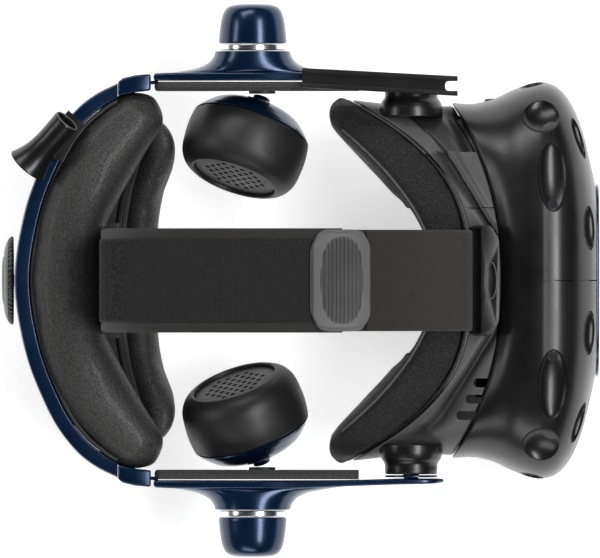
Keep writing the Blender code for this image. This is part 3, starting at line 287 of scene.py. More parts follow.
STRAP_ANCHOR = ((-98.0, 44.5), (-87.6, 44.5), (-87.6, 50.6), (-98.0, 50.6))
DIAL_DOME = ((21.6, -0.9), (20.6, -2.2), (18.2, -3.6), (14.6, -4.6), (13.2, -4.7), (12.6, -4.2),
             (11.9, -4.9), (9.0, -5.6), (0.0, -5.9))
CUP_STUD = ((0.0, -4.4), (2.0, -4.4), (4.2, -3.9), (4.5, -2.0))
CUP_BACK_OUTSIDE = ((4.6, 0.2), (12.5, 1.0), (21.5, 4.6), (27.0, 9.8), (29.2, 12.7))
CUP_BACK_INSIDE = ((29.0, 13.0), (27.4, 13.0), (25.2, 10.6), (20.4, 7.0), (12.0, 3.8), (4.0, 3.2),
                   (0.0, 3.2))
DRUM_OUTSIDE = ((29.5, 14.2), (30.0, 19.0), (30.0, 24.0), (29.3, 31.0), (27.9, 34.9), (25.6, 37.9),
                (22.6, 39.7))
DRUM_INSIDE = ((21.6, 40.0), (20.9, 39.8), (20.65, 39.2), (20.6, 36.2), (25.2, 33.0), (27.2, 30.0),
               (27.4, 13.4))
GRILLE_SECTION = ((0.0, 36.7), (20.3, 36.7), (20.3, 38.3), (0.0, 38.3))


# ---------------------------------------------------------------- materials


def texture_place(tree):
    """The one node that gives positions on the object, in metres."""
    for node in tree.nodes:
        if node.bl_idname == "ShaderNodeTexCoord":
            return node.outputs["Object"]
    return tree.nodes.new("ShaderNodeTexCoord").outputs["Object"]


def noise_texture(tree, size_mm, detail=2.0, stretch=(1.0, 1.0, 1.0)):
    """Noise whose blobs are about `size_mm` across, optionally stretched along an axis."""
    texture = tree.nodes.new("ShaderNodeTexNoise")
    texture.inputs["Scale"].default_value = 1.0 / (size_mm * MM)
    texture.inputs["Detail"].default_value = detail
    source = texture_place(tree)
    if stretch != (1.0, 1.0, 1.0):
        mapping = tree.nodes.new("ShaderNodeMapping")
        mapping.inputs["Scale"].default_value = stretch
        tree.links.new(source, mapping.inputs["Vector"])
        source = mapping.outputs["Vector"]
    tree.links.new(source, texture.inputs["Vector"])
    return texture.outputs["Fac"]


def cell_texture(tree, size_mm, feature="F1"):
    texture = tree.nodes.new("ShaderNodeTexVoronoi")
    texture.feature = feature
    texture.inputs["Scale"].default_value = 1.0 / (size_mm * MM)
    tree.links.new(texture_place(tree), texture.inputs["Vector"])
    return texture.outputs["Distance"]


def remap(tree, source, from_low, from_high, to_low, to_high):
    node = tree.nodes.new("ShaderNodeMapRange")
    for name, value in (("From Min", from_low), ("From Max", from_high), ("To Min", to_low),
                        ("To Max", to_high)):
        node.inputs[name].default_value = value
    tree.links.new(source, node.inputs["Value"])
    return node.outputs["Result"]


def mix_colours(tree, factor, first, second):
    node = tree.nodes.new("ShaderNodeMix")
    node.data_type = "RGBA"
    tree.links.new(factor, node.inputs["Factor"])
    for socket, colour in ((node.inputs["A"], first), (node.inputs["B"], second)):
        if isinstance(colour, tuple):
            socket.default_value = (*colour, 1.0)
        else:
            tree.links.new(colour, socket)
    return node.outputs["Result"]


def add_bump(tree, shader, height, distance_mm, strength=1.0):
    """Put a bump in front of the shader, on top of any that it has already."""
    bump = tree.nodes.new("ShaderNodeBump")
    bump.inputs["Distance"].default_value = distance_mm * MM
    bump.inputs["Strength"].default_value = strength
    tree.links.new(height, bump.inputs["Height"])
    normal = shader.inputs["Normal"]
    if normal.is_linked:
        tree.links.new(normal.links[0].from_socket, bump.inputs["Normal"])
    tree.links.new(bump.outputs["Normal"], normal)


def start_material(name, roughness, metallic=0.0, **sockets):
    material = bpy.data.materials.new(name)
    material.use_nodes = True
    shader = material.node_tree.nodes["Principled BSDF"]
    shader.inputs["Roughness"].default_value = roughness
    shader.inputs["Metallic"].default_value = metallic
    for socket, value in sockets.items():
        shader.inputs[socket.replace("_", " ")].default_value = value
    return material, material.node_tree, shader


def edge_wear(tree, amount):
    """Bright on worn outer edges, from the mesh's own curvature broken up by noise."""
    geometry = tree.nodes.new("ShaderNodeNewGeometry")
    edges = remap(tree, geometry.outputs["Pointiness"], 0.515, 0.6, 0.0, amount)
    patches = remap(tree, noise_texture(tree, 9.0, 3.0), 0.42, 0.62, 0.15, 1.0)
    product = tree.nodes.new("ShaderNodeMath")
    product.operation = "MULTIPLY"
    tree.links.new(edges, product.inputs[0])
    tree.links.new(patches, product.inputs[1])
    return product.outputs["Value"]


def moulded_plastic(name, dark, light, rough_low, rough_high, grain_mm, grain_depth, wear=0.25,
                    metallic=0.0, **sockets):
    """Moulded plastic: slow shade changes, spark-eroded grain, slightly polished and worn edges."""
    material, tree, shader = start_material(name, rough_high, metallic, **sockets)
    shade = mix_colours(tree, remap(tree, noise_texture(tree, 30.0, 3.0), 0.35, 0.65, 0.0, 1.0), dark,
                        light)
    worn = tuple(min(value * 2.6 + 0.02, 1.0) for value in light)
    tree.links.new(mix_colours(tree, edge_wear(tree, wear), shade, worn), shader.inputs["Base Color"])
    blotches = remap(tree, noise_texture(tree, 14.0, 4.0), 0.3, 0.7, rough_low, rough_high)
    tree.links.new(blotches, shader.inputs["Roughness"])
    add_bump(tree, shader, noise_texture(tree, grain_mm, 2.0), grain_depth)
    return material


def carriage_plastic_painted_crease_shade(name):
    """Grey plastic with painted shade in its creases: darker where the mesh's recess attribute says that
    the surface lies deep in a crease.
    """
    material = moulded_plastic(name, (0.062, 0.062, 0.063), (0.080, 0.080, 0.081), 0.42, 0.54, 0.45, 0.02)
    tree = material.node_tree
    base = tree.nodes["Principled BSDF"].inputs["Base Color"]
    attribute = tree.nodes.new("ShaderNodeAttribute")
    attribute.attribute_name = "recess"
    shade = base.links[0].from_socket
    # Painted shade: the colour is mixed towards near black where the recess attribute is high, standing in
    # for the shade in the creases.
    depth = remap(tree, attribute.outputs["Fac"], 0.05, 0.9, 0.0, 0.9)
    tree.links.new(mix_colours(tree, depth, shade, (0.008, 0.008, 0.0085)), base)
    return material


def leatherette(name, dark, light):
    """Coated fabric with a fine pebble grain, darker in the creases between the pebbles."""
    material, tree, shader = start_material(name, 0.6, Coat_Weight=0.05)
    cells = cell_texture(tree, 1.15)
    pebbles = remap(tree, cells, 0.0, 0.75, 1.0, 0.0)
    speckle = remap(tree, noise_texture(tree, 0.9, 3.0), 0.38, 0.66, 0.0, 1.0)
    shade = mix_colours(tree, speckle, dark, light)
    tree.links.new(shade, shader.inputs["Base Color"])
    tree.links.new(remap(tree, cells, 0.1, 0.7, 0.42, 0.68), shader.inputs["Roughness"])
    add_bump(tree, shader, pebbles, 0.11)
    add_bump(tree, shader, noise_texture(tree, 22.0, 3.0), 0.5)
    return material


def pile_fabric(name, dark, light, tuft_mm, depth, sheen):
    """Velour or felt: short fibres with sparkle and a soft sheen."""
    material, tree, shader = start_material(name, 0.95, Sheen_Weight=sheen, Sheen_Roughness=0.4)
    tufts = noise_texture(tree, tuft_mm, 5.0)
    sparkle = remap(tree, noise_texture(tree, tuft_mm * 0.8, 1.0), 0.5, 0.76, 0.0, 1.0)
    tree.links.new(mix_colours(tree, sparkle, dark, light), shader.inputs["Base Color"])
    tree.links.new(remap(tree, tufts, 0.3, 0.7, 0.82, 1.0), shader.inputs["Roughness"])
    add_bump(tree, shader, tufts, depth)
    return material


def woven(name, dark, light, thread_mm, sheen=0.25):
    """Narrow woven tape: threads along and across, from the mesh's own weave attributes in millimetres."""
    material, tree, shader = start_material(name, 0.8, Sheen_Weight=sheen, Sheen_Roughness=0.45)
    waves = []
    for axis, pitch in (("along", thread_mm * 2.0), ("across", thread_mm)):
        attribute = tree.nodes.new("ShaderNodeAttribute")
        attribute.attribute_name = axis
        turn = tree.nodes.new("ShaderNodeMath")
        turn.operation = "MULTIPLY"
        turn.inputs[1].default_value = 2.0 * math.pi / pitch
        tree.links.new(attribute.outputs["Fac"], turn.inputs[0])
        wave = tree.nodes.new("ShaderNodeMath")
        wave.operation = "SINE"
        tree.links.new(turn.outputs["Value"], wave.inputs[0])
        waves.append(wave.outputs["Value"])
    crossing = tree.nodes.new("ShaderNodeMath")
    crossing.operation = "MULTIPLY"
    tree.links.new(waves[0], crossing.inputs[0])
    tree.links.new(waves[1], crossing.inputs[1])
    threads = crossing.outputs["Value"]
    shade = mix_colours(tree, remap(tree, threads, -1.0, 1.0, 0.0, 1.0), dark, light)
    fade = remap(tree, noise_texture(tree, 5.0, 4.0), 0.35, 0.7, 0.0, 0.35)
    tree.links.new(mix_colours(tree, fade, shade, tuple(value * 1.5 for value in light)),
                   shader.inputs["Base Color"])
    tree.links.new(remap(tree, threads, -1.0, 1.0, 0.9, 0.68), shader.inputs["Roughness"])
    add_bump(tree, shader, threads, 0.09)
    add_bump(tree, shader, noise_texture(tree, 0.35, 2.0), 0.05)
    return material


def bright_metal(name):
    material, tree, shader = start_material(name, 0.2, 1.0)
    brushed = noise_texture(tree, 0.5, 3.0, (0.04, 6.0, 0.04))
    tree.links.new(mix_colours(tree, brushed, (0.62, 0.65, 0.68), (0.85, 0.87, 0.89)),
                   shader.inputs["Base Color"])
    tree.links.new(remap(tree, brushed, 0.3, 0.7, 0.12, 0.3), shader.inputs["Roughness"])
    add_bump(tree, shader, brushed, 0.01)
    return material


def coated_glass(name, tint_low, tint_high, transmission=0.0):
    """Dark camera glass, or a clear lens, with a faint coating tint and fine smears."""
    material, tree, shader = start_material(name, 0.04, Transmission_Weight=transmission, IOR=1.5,
                                            Coat_Weight=0.6)
    tint = mix_colours(tree, noise_texture(tree, 18.0, 2.0), tint_low, tint_high)
    tree.links.new(tint, shader.inputs["Base Color"])
    tree.links.new(remap(tree, noise_texture(tree, 4.0, 4.0), 0.4, 0.75, 0.03, 0.14),
                   shader.inputs["Roughness"])
    return material


def circuit_board(name):
    """Green board with copper tracks and dark parts on it."""
    material, tree, shader = start_material(name, 0.45)
    tracks = remap(tree, cell_texture(tree, 6.0, "DISTANCE_TO_EDGE"), 0.02, 0.06, 1.0, 0.0)
    board = mix_colours(tree, noise_texture(tree, 9.0, 3.0), (0.006, 0.05, 0.022), (0.012, 0.09, 0.04))
    tree.links.new(mix_colours(tree, tracks, board, (0.28, 0.17, 0.05)), shader.inputs["Base Color"])
    tree.links.new(remap(tree, tracks, 0.0, 1.0, 0.5, 0.28), shader.inputs["Roughness"])
    add_bump(tree, shader, tracks, 0.05)
    return material


def glowing_floor(name):
    """Pale floor with a little light of its own, so that it comes out white."""
    material, tree, shader = start_material(name, 0.9)
    shade = mix_colours(tree, noise_texture(tree, 400.0, 2.0), (0.86, 0.86, 0.86), (0.88, 0.88, 0.88))
    tree.links.new(shade, shader.inputs["Base Color"])
    shader.inputs["Emission Color"].default_value = (1.0, 1.0, 1.0, 1.0)
    shader.inputs["Emission Strength"].default_value = FLOOR_GLOW
    return material


def make_materials():
    return {
        "shell": moulded_plastic("black_satin_plastic", (0.004, 0.004, 0.0044), (0.0065, 0.0065, 0.007),
                                 0.27, 0.35,
                                 0.35, 0.006, 0.12, Coat_Weight=0.05, Coat_Roughness=0.25),
        "dark": moulded_plastic("black_plastic", (0.010, 0.010, 0.011), (0.016, 0.016, 0.017), 0.42,
                                0.55, 0.4, 0.012),
        "grey": moulded_plastic("dark_grey_plastic", (0.060, 0.060, 0.061), (0.076, 0.076, 0.077), 0.44,
                                0.56, 0.45, 0.02),
        "carriage": carriage_plastic_painted_crease_shade("carriage_plastic_painted_crease_shade"),
        "blue": moulded_plastic("dark_blue_plastic", (0.0012, 0.014, 0.052), (0.0015, 0.024, 0.070),
                                0.22, 0.30,
                                0.5, 0.006, 0.1, 0.55, Coat_Weight=0.35, Coat_Roughness=0.18),
        "drum": moulded_plastic("textured_black_plastic", (0.011, 0.011, 0.012), (0.018, 0.018, 0.019),
                                0.40, 0.52,
                                0.75, 0.05),
        "glass": coated_glass("camera_glass", (0.003, 0.004, 0.008), (0.008, 0.006, 0.014)),
        "window": moulded_plastic("sensor_window", (0.016, 0.016, 0.018), (0.030, 0.030, 0.033), 0.24,
                                  0.32, 0.6, 0.002),
        "lens": coated_glass("lens_glass", (0.80, 0.86, 0.90), (0.90, 0.92, 0.95), 0.9),
        "board": circuit_board("circuit_board"),
        "foam": pile_fabric("black_velour_foam", (0.006, 0.006, 0.006), (0.045, 0.044, 0.043), 0.75,
                            0.35, 0.12),
        "liner": moulded_plastic("gasket_liner", (0.030, 0.030, 0.031), (0.045, 0.045, 0.046), 0.55, 0.7,
                                 1.2, 0.03),
        "felt": pile_fabric("grey_arm_pad", (0.036, 0.036, 0.036), (0.085, 0.084, 0.082), 0.8, 0.14,
                            0.15),
        "rubber": moulded_plastic("grey_rubber", (0.072, 0.072, 0.073), (0.092, 0.092, 0.093), 0.5, 0.62,
                                  0.4, 0.015, 0.15),
        "leatherette": leatherette("grey_leatherette", (0.016, 0.016, 0.0155), (0.050, 0.049, 0.047)),
        "webbing": woven("brown_black_webbing", (0.006, 0.0041, 0.0034), (0.018, 0.0120, 0.0098), 0.9,
                         0.12),
        "strap": woven("black_strap", (0.006, 0.0056, 0.005), (0.016, 0.015, 0.0135), 0.9, 0.12),
        "loops": pile_fabric("hook_and_loop", (0.003, 0.003, 0.003), (0.030, 0.030, 0.029), 0.5, 0.25,
                             0.08),
        "chrome": bright_metal("bright_ring"),
        "floor": glowing_floor("pale_floor"),
    }


MATERIALS = make_materials()


# ---------------------------------------------------------------- shape helpers


def loft(rings, loop=False, wrap=True):
    """Points and faces of a skin over rings of equal point count, with capped ends unless it loops."""
    rings = np.asarray(rings, float)
    rows, count = rings.shape[:2]
    index = np.arange(rows * count).reshape(rows, count)
    below = index if loop else index[:-1]
    above = np.roll(index, -1, axis=0) if loop else index[1:]
    if wrap:
        corners = (below, np.roll(below, -1, axis=1), np.roll(above, -1, axis=1), above)
    else:
        corners = (below[:, :-1], below[:, 1:], above[:, 1:], above[:, :-1])
    faces = np.stack(corners, axis=-1).reshape(-1, 4).tolist()
    if not loop and wrap:
        faces += [index[0].tolist(), index[-1][::-1].tolist()]
    return rings.reshape(-1, 3), faces


def add_object(name, data):
    obj = bpy.data.objects.new(name, data)
    bpy.context.scene.collection.objects.link(obj)
    return obj


def soften(mesh, sharp):
    """Smooth shading, with edges over the angle left sharp."""
    mesh.shade_smooth()
    mesh.set_sharp_from_angle(angle=math.radians(sharp))


def mesh_object(name, shape, finish=None, sharp=35.0):
    """An object in metres from a shape in millimetres: welded, outward facing, smooth with sharp edges."""
    points, faces = shape
    mesh = bpy.data.meshes.new(name)
    mesh.from_pydata((np.asarray(points) * MM).tolist(), [], faces)
    bm = bmesh.new()
    bm.from_mesh(mesh)
    bmesh.ops.remove_doubles(bm, verts=bm.verts, dist=1e-7)
    bmesh.ops.dissolve_degenerate(bm, edges=bm.edges, dist=1e-7)
    bmesh.ops.recalc_face_normals(bm, faces=bm.faces)
    bm.to_mesh(mesh)
    bm.free()
    soften(mesh, sharp)
    obj = add_object(name, mesh)
    if finish is not None:
        mesh.materials.append(MATERIALS[finish])
    return obj


def place(obj, body, slot, *nodes):
    """Finish a piece: it rides on a body and may stand for CAD nodes; its slot argument is not used."""
    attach(obj, body)
    if nodes:
        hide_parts(*nodes)
    return obj


def piece(name, shape, finish, body, slot, *nodes, sharp=35.0):
    return place(mesh_object(name, shape, finish, sharp), body, slot, *nodes)


def apply_modifiers(obj, sharp=35.0):
    view = bpy.context.evaluated_depsgraph_get()
    mesh = bpy.data.meshes.new_from_object(obj.evaluated_get(view))
    obj.modifiers.clear()
    obj.data = mesh
    soften(mesh, sharp)
    return obj


def cut(obj, shapes, operation="DIFFERENCE", sharp=35.0):
    """Cut shapes that don't touch each other out of the object, or join one to it."""
    points = []
    faces = []
    for shape_points, shape_faces in shapes:
        start = len(points)
        points += np.asarray(shape_points).tolist()
        faces += [[start + i for i in face] for face in shape_faces]
    helper = mesh_object("helper", (points, faces))
    modifier = obj.modifiers.new("Cut", "BOOLEAN")
    modifier.operation = operation
    modifier.solver = "EXACT"
    modifier.object = helper
    apply_modifiers(obj, sharp)
    bpy.data.objects.remove(helper, do_unlink=True)
    return obj


def bevel(obj, width_mm, segments=3, angle=35.0):
    modifier = obj.modifiers.new("Bevel", "BEVEL")
    modifier.width = width_mm * MM
    modifier.segments = segments
    modifier.limit_method = "ANGLE"
    modifier.angle_limit = math.radians(angle)
    modifier.harden_normals = False
    return apply_modifiers(obj, 50.0)


def refined(node, name, finish, slot, bevel_mm, sharp=35.0):
    """A copy of a CAD node with merged flat faces and rounded edges, that stands for it."""
    source = frame["nodes"][node]
    mesh = source.data.copy()
    mesh.name = name
    bm = bmesh.new()
    bm.from_mesh(mesh)
    bmesh.ops.remove_doubles(bm, verts=bm.verts, dist=1e-6)
    bmesh.ops.dissolve_limit(bm, angle_limit=math.radians(1.0), verts=bm.verts, edges=bm.edges)
    bm.to_mesh(mesh)
    bm.free()
    mesh.materials.clear()
    mesh.materials.append(MATERIALS[finish])
    obj = add_object(name, mesh)
    bevel(obj, bevel_mm, 2, sharp)
    return place(obj, source["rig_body"], slot, node)


def rounded(points, radius, steps=4, closed=True):
    """A 2-D outline with each corner turned into a small curve."""
    points = [Vector(p) for p in points]
    count = len(points)
    result = []
    for i, corner in enumerate(points):
        if not closed and i in (0, count - 1):
            result.append(corner)
            continue
        before = points[i - 1] - corner
        after = points[(i + 1) % count] - corner
        start = corner + before.normalized() * min(radius, before.length * 0.48)
        end = corner + after.normalized() * min(radius, after.length * 0.48)
        for k in range(steps + 1):
            t = k / steps
            result.append(start * (1 - t) ** 2 + corner * 2 * t * (1 - t) + end * t * t)
    return [tuple(p) for p in result]


def smooth_curve(points, spacing):
    """Catmull-Rom curve through points of any number of values, in steps of about `spacing`."""
    points = np.asarray(points, float)
    padded = np.vstack([2 * points[0] - points[1], points, 2 * points[-1] - points[-2]])
    result = []
    for k in range(len(points) - 1):
        p0, p1, p2, p3 = padded[k:k + 4]
        steps = max(int(math.ceil(np.linalg.norm((p2 - p1)[:3]) / spacing)), 1)
        t = (np.arange(steps) / steps)[:, None]
        result.append(0.5 * (2 * p1 + (p2 - p0) * t + (2 * p0 - 5 * p1 + 4 * p2 - p3) * t ** 2
                             + (3 * p1 - p0 - 3 * p2 + p3) * t ** 3))
    result.append(points[-1:])
    return np.vstack(result)


def box_outline(x, y, half_length, half_width):
    """Corners of a rectangle about a middle point."""
    corners = ((-1, -1), (1, -1), (1, 1), (-1, 1))
    return [(x + a * half_length, y + b * half_width) for a, b in corners]


def line_normals(line):
    """Unit vectors to the left of a 2-D line, at each of its points."""
    along = np.gradient(line, axis=0)
    along /= np.linalg.norm(along, axis=1)[:, None]
    return np.column_stack([-along[:, 1], along[:, 0]])


def distances(line):
    """How far each point is from the line's start, along the line."""
    return np.concatenate([[0.0], np.cumsum(np.linalg.norm(np.diff(line, axis=0), axis=1))])


def prism(outline, axis, low, high):
    """A 2-D outline extruded along X, Y or Z."""
    order = {"X": (2, 0, 1), "Y": (0, 2, 1), "Z": (0, 1, 2)}[axis]
    outline = np.asarray(outline, float)
    rings = []
    for level in (low, high):
        flat = np.column_stack([outline, np.full(len(outline), level)])
        rings.append(flat[:, order])
    return loft(rings)


def full_turn(steps):
    return np.linspace(0.0, 2 * math.pi, steps, endpoint=False)


def circle(radius, steps, centre=(0.0, 0.0)):
    angles = [2 * math.pi * i / steps for i in range(steps)]
    return [(centre[0] + radius * math.cos(a), centre[1] + radius * math.sin(a)) for a in angles]


def axis_frame(direction):
    """Two unit vectors across a direction, the second as upright as can be, and the direction's own."""
    forward = Vector(direction).normalized()
    side = forward.cross(Vector((0.0, 0.0, 1.0)))
    if side.length < 0.01:
        side = Vector((1.0, 0.0, 0.0))
    side.normalize()
    return np.array(side), np.array(side.cross(forward)), np.array(forward)


def turned(profile, base, direction, steps=64, closed=False, ridges=0, ridge_depth=0.0):
    """(radius, distance) points turned about a line, with shallow ridges round it if asked for."""
    side, up, forward = axis_frame(direction)
    angles = full_turn(steps)
    wave = ridge_depth * (0.5 - 0.5 * np.cos(ridges * angles))
    rim = max(radius for radius, distance in profile) * 0.93
    rings = []
    for radius, distance in profile:
        reach = radius - wave if radius > rim else np.full(steps, float(radius))
        rings.append(np.array(base) + forward * distance
                     + np.outer(np.cos(angles) * reach, side) + np.outer(np.sin(angles) * reach, up))
    return loft(rings, loop=closed)


def superellipse(half_width, half_height, squareness, angles):
    c = np.cos(angles)
    s = np.sin(angles)
    y = half_width * np.sign(c) * np.abs(c) ** (2 / squareness)
    z = half_height * np.sign(s) * np.abs(s) ** (2 / squareness)
    return y, z


def even_angles(half_width, half_height, squareness, spacing):
    """Angles that give evenly spaced points round a superellipse."""
    fine = np.linspace(0.0, 2 * math.pi, 20001)
    y, z = superellipse(half_width, half_height, squareness, fine)
    length = np.concatenate([[0.0], np.cumsum(np.hypot(np.diff(y), np.diff(z)))])
    count = int(length[-1] / spacing)
    return np.interp(np.linspace(0.0, length[-1], count, endpoint=False), length, fine)


# ---------------------------------------------------------------- visor shell


def shell_rear_edge(y):
    share = np.minimum(np.abs(y) / SHELL_REAR_WIDTH, 1.0)
    return SHELL_STATIONS[0][0] + SHELL_REAR_BOW * (1.0 - share ** SHELL_REAR_POWER)


def shell_ring(forward, half_width, half_height, angles, shrink=0.0):
    y, z = superellipse(half_width - shrink, half_height - shrink, VISOR_SQUARENESS, angles)
    rear = shell_rear_edge(y)
    start = SHELL_STATIONS[0][0]
    x = np.full_like(y, forward)
    if forward < SHELL_WIDEST:
        x = rear + (forward - start) * (SHELL_WIDEST - rear) / (SHELL_WIDEST - start)
    z = np.maximum(z, -VISOR_MIDDLE + shrink)
    return np.column_stack([x, y, VISOR_MIDDLE + z])


def station_at(forward):
    """Half width and half height of the shell at a forward position."""
    stations = np.array(SHELL_STATIONS)
    return tuple(np.interp(forward, stations[:, 0], stations[:, k]) for k in (1, 2))


def shell_top(forward, sideways):
    width, height = station_at(forward)
    share = min(abs(sideways) / width, 1.0)
    return height * (1.0 - share ** VISOR_SQUARENESS) ** (1.0 / VISOR_SQUARENESS)


def shell_front(sideways, height):
    """Forward position of the shell's front at a sideways place and a height above its middle."""
    ahead = [station for station in SHELL_STATIONS if station[0] >= SHELL_WIDEST]
    for (x0, w0, h0), (x1, w1, h1) in zip(ahead, ahead[1:]):
        inside0 = (abs(sideways) / w0) ** VISOR_SQUARENESS + (abs(height) / h0) ** VISOR_SQUARENESS
        inside1 = (abs(sideways) / w1) ** VISOR_SQUARENESS + (abs(height) / h1) ** VISOR_SQUARENESS
        if inside0 <= 1.0 <= inside1:
            return x0 + (x1 - x0) * (1.0 - inside0) / (inside1 - inside0)
    return SHELL_STATIONS[-1][0]


def shell_normal(point):
    """Outward direction of the shell's surface at a point on it."""
    def level(x, y, z):
        width, height = station_at(x)
        return (abs(y) / width) ** VISOR_SQUARENESS + (abs(z - VISOR_MIDDLE) / height) ** VISOR_SQUARENESS
    slope = []
    for axis in np.eye(3):
        slope.append(level(*(point + axis)) - level(*(point - axis)))
    return np.array(slope) / np.linalg.norm(slope)


def dimple_axes(point, along):
    """Directions across the dimple, along it, and out of the shell."""
    out = shell_normal(np.array(point))
    along = np.array(along) - out * np.dot(along, out)
    along = along / np.linalg.norm(along)
    return np.cross(along, out) * np.sign(np.cross(along, out)[0] + 1e-6), along, out


def dimples():
    """Every dimple: centre, radii across, along and deep, outward direction, place of its sensor window."""
    result = []
    for side in (LEFT, RIGHT):
        for (forward, sideways, across, along), window in zip(TOP_DIMPLES, TOP_WINDOWS):
            for up in (1, -1):
                height = min(shell_top(forward, sideways), VISOR_MIDDLE)
                centre = (forward, side * sideways, VISOR_MIDDLE + up * height)
                axes = dimple_axes(centre, (0.0, side, 0.0))
                result.append((centre, (across, along, DIMPLE_DEPTH), axes, window))
        for sideways, height, along, across in FRONT_DIMPLES:
            centre = (shell_front(sideways, height - VISOR_MIDDLE), side * sideways, height)
            axes = dimple_axes(centre, (0.0, side, 0.0))
            result.append((centre, (across, along, DIMPLE_DEPTH), axes, FRONT_WINDOW))
        for forward, height, across, along in SIDE_DIMPLES:
            centre = (forward, side * SHELL_FLANK, height)
            axes = axis_frame((0.0, side, 0.0))
            result.append((centre, (across, along, DIMPLE_DEPTH), axes, SIDE_WINDOW))
    return result


def dimple_bowl(centre, radii, axes):
    """Bowl-shaped cutter in the dimple's own axes."""
    side, up, forward = (np.array(axis, float) for axis in axes)
    angles = full_turn(56)
    rows = []
    for i in range(18):
        level = math.pi * (i + 0.5) / 18
        reach = math.sin(level)
        rows.append(np.array(centre) + forward / np.linalg.norm(forward) * radii[2] * math.cos(level)
                    + np.outer(np.cos(angles) * radii[0] * reach, side)
                    + np.outer(np.sin(angles) * radii[1] * reach, up))
    return loft(rows)


def build_visor_shell():
    angles = even_angles(SHELL_HALF_WIDTH, SHELL_HALF_HEIGHT, VISOR_SQUARENESS, SHELL_SPACING)
    dense = smooth_curve(SHELL_STATIONS, SHELL_SPACING)
    rings = [shell_ring(*station, angles) for station in dense]
    start = SHELL_STATIONS[0]
    rim = []
    for shrink, back in ((SHELL_WALL, 1.0), (SHELL_WALL - 0.3, 0.2), (SHELL_WALL - 0.9, 0.0), (1.0, 0.0),
                         (0.3, 0.2)):
        rim.append(shell_ring(start[0] + back, start[1], start[2], angles, shrink))
    inner = []
    front = SHELL_STATIONS[-1][0]
    squeeze = (front - SHELL_WALL - start[0]) / (front - start[0])
    for forward, half_width, half_height in SHELL_STATIONS[1:]:
        inside = start[0] + (forward - start[0]) * squeeze
        inner.append(shell_ring(inside, half_width, half_height, angles, SHELL_WALL))
    rings[0] = shell_ring(start[0] + 0.8, start[1], start[2], angles)
    shell = mesh_object("visor_shell_body", loft(inner[::-1] + rim + rings), "shell")
    cut(shell, [dimple_bowl(centre, radii, axes) for centre, radii, axes, window in dimples()])
    # Parting line along the middle of the top and of the front.
    top = [(x, VISOR_MIDDLE + h) for x, w, h in dense if x > SEAM_START]
    outside = [(x + SEAM_ABOVE, z + SEAM_ABOVE) for x, z in top]
    inside = [(x - 1.6, z - SEAM_BELOW) for x, z in top[::-1]]
    line = prism(outside + inside, "Y", -SEAM_WIDTH / 2, SEAM_WIDTH / 2)
    pockets = [line, prism(circle(BUTTON_HOLE_RADIUS, 40, SYSTEM_BUTTON[::2]), "Y", 80.0, 100.0),
               turned(KNOB_POCKET, (KNOB[0], -100.0, KNOB[2]), (0.0, 1.0, 0.0)),
               prism(RELIEF_SLOT, "Z", -4.0, 8.0)]
    cut(shell, pockets)
    place(shell, "front", "black_satin_plastic", "visor_shell")


def build_sensor_windows():
    """A small smooth disc at one end of each dimple."""
    for number, (centre, radii, axes, (a, b)) in enumerate(dimples()):
        side, up, forward = (np.array(axis, float) / np.linalg.norm(axis) for axis in axes)
        depth = math.sqrt(max(1.0 - a * a - b * b, 0.0))
        spot = np.array(centre) + side * a * radii[0] + up * b * radii[1] - forward * depth * radii[2]
        out = -(side * a / radii[0] + up * b / radii[1] - forward * depth / radii[2])
        size = min(radii[0], radii[1]) * 0.46
        profile = [(0.0, 0.45), (size * 0.6, 0.4), (size * 0.9, 0.25), (size, 0.0), (size, -0.8)]
        piece(f"sensor_window_{number}", turned(profile, spot, out, 32), "window", "front",
              "camera_glass")


def build_front_plate():
    angles = even_angles(PLATE_HALF_WIDTH, PLATE_HALF_HEIGHT, PLATE_SQUARENESS, SHELL_SPACING)
    y, z = superellipse(PLATE_HALF_WIDTH, PLATE_HALF_HEIGHT, PLATE_SQUARENESS, angles)
    outline = np.column_stack([y, VISOR_MIDDLE + z])
    middle = np.array([0.0, VISOR_MIDDLE])
    rings = []
    for share, forward in PLATE_STEPS:
        flat = middle + (outline - middle) * share
        rings.append(np.column_stack([np.full(len(flat), PLATE_FACE + forward), flat]))
    plate = mesh_object("front_plate_face", loft(rings), "blue")
    hole = CAMERA_RADIUS + 0.35
    cut(plate, [prism(circle(hole, 48, (s * CAMERA_Y, VISOR_MIDDLE)), "X", 142.0, 148.0)
                for s in (LEFT, RIGHT)])
    place(plate, "front", "dark_blue_plastic", "front_plate")
    for side in (LEFT, RIGHT):
        base = (PLATE_FACE, side * CAMERA_Y, VISOR_MIDDLE)
        piece(f"camera_glass_{SIDE_NAMES[side]}", turned(CAMERA_PROFILE, base, (1.0, 0.0, 0.0)), "glass",
              "front", "camera_glass", f"front_camera_{SIDE_NAMES[side]}")


def build_visor_controls():
    axis = (0.0, 1.0, 0.0)
    piece("system_button_cap", turned(BUTTON_PROFILE, SYSTEM_BUTTON, axis), "dark", "system_button",
          "black_plastic", "system_button")
    profile = rounded(KNOB_PROFILE, 0.7, closed=False)
    knob = mesh_object("ipd_knob_ribbed", turned(profile, KNOB, axis, 6 * KNOB_RIBS, ridges=KNOB_RIBS,
                                                 ridge_depth=0.5),
                       "blue")
    place(knob, "ipd_knob", "dark_blue_plastic", "ipd_knob")
    refined("eye_relief_button", "eye_relief_slider", "dark", "black_plastic", 0.6)


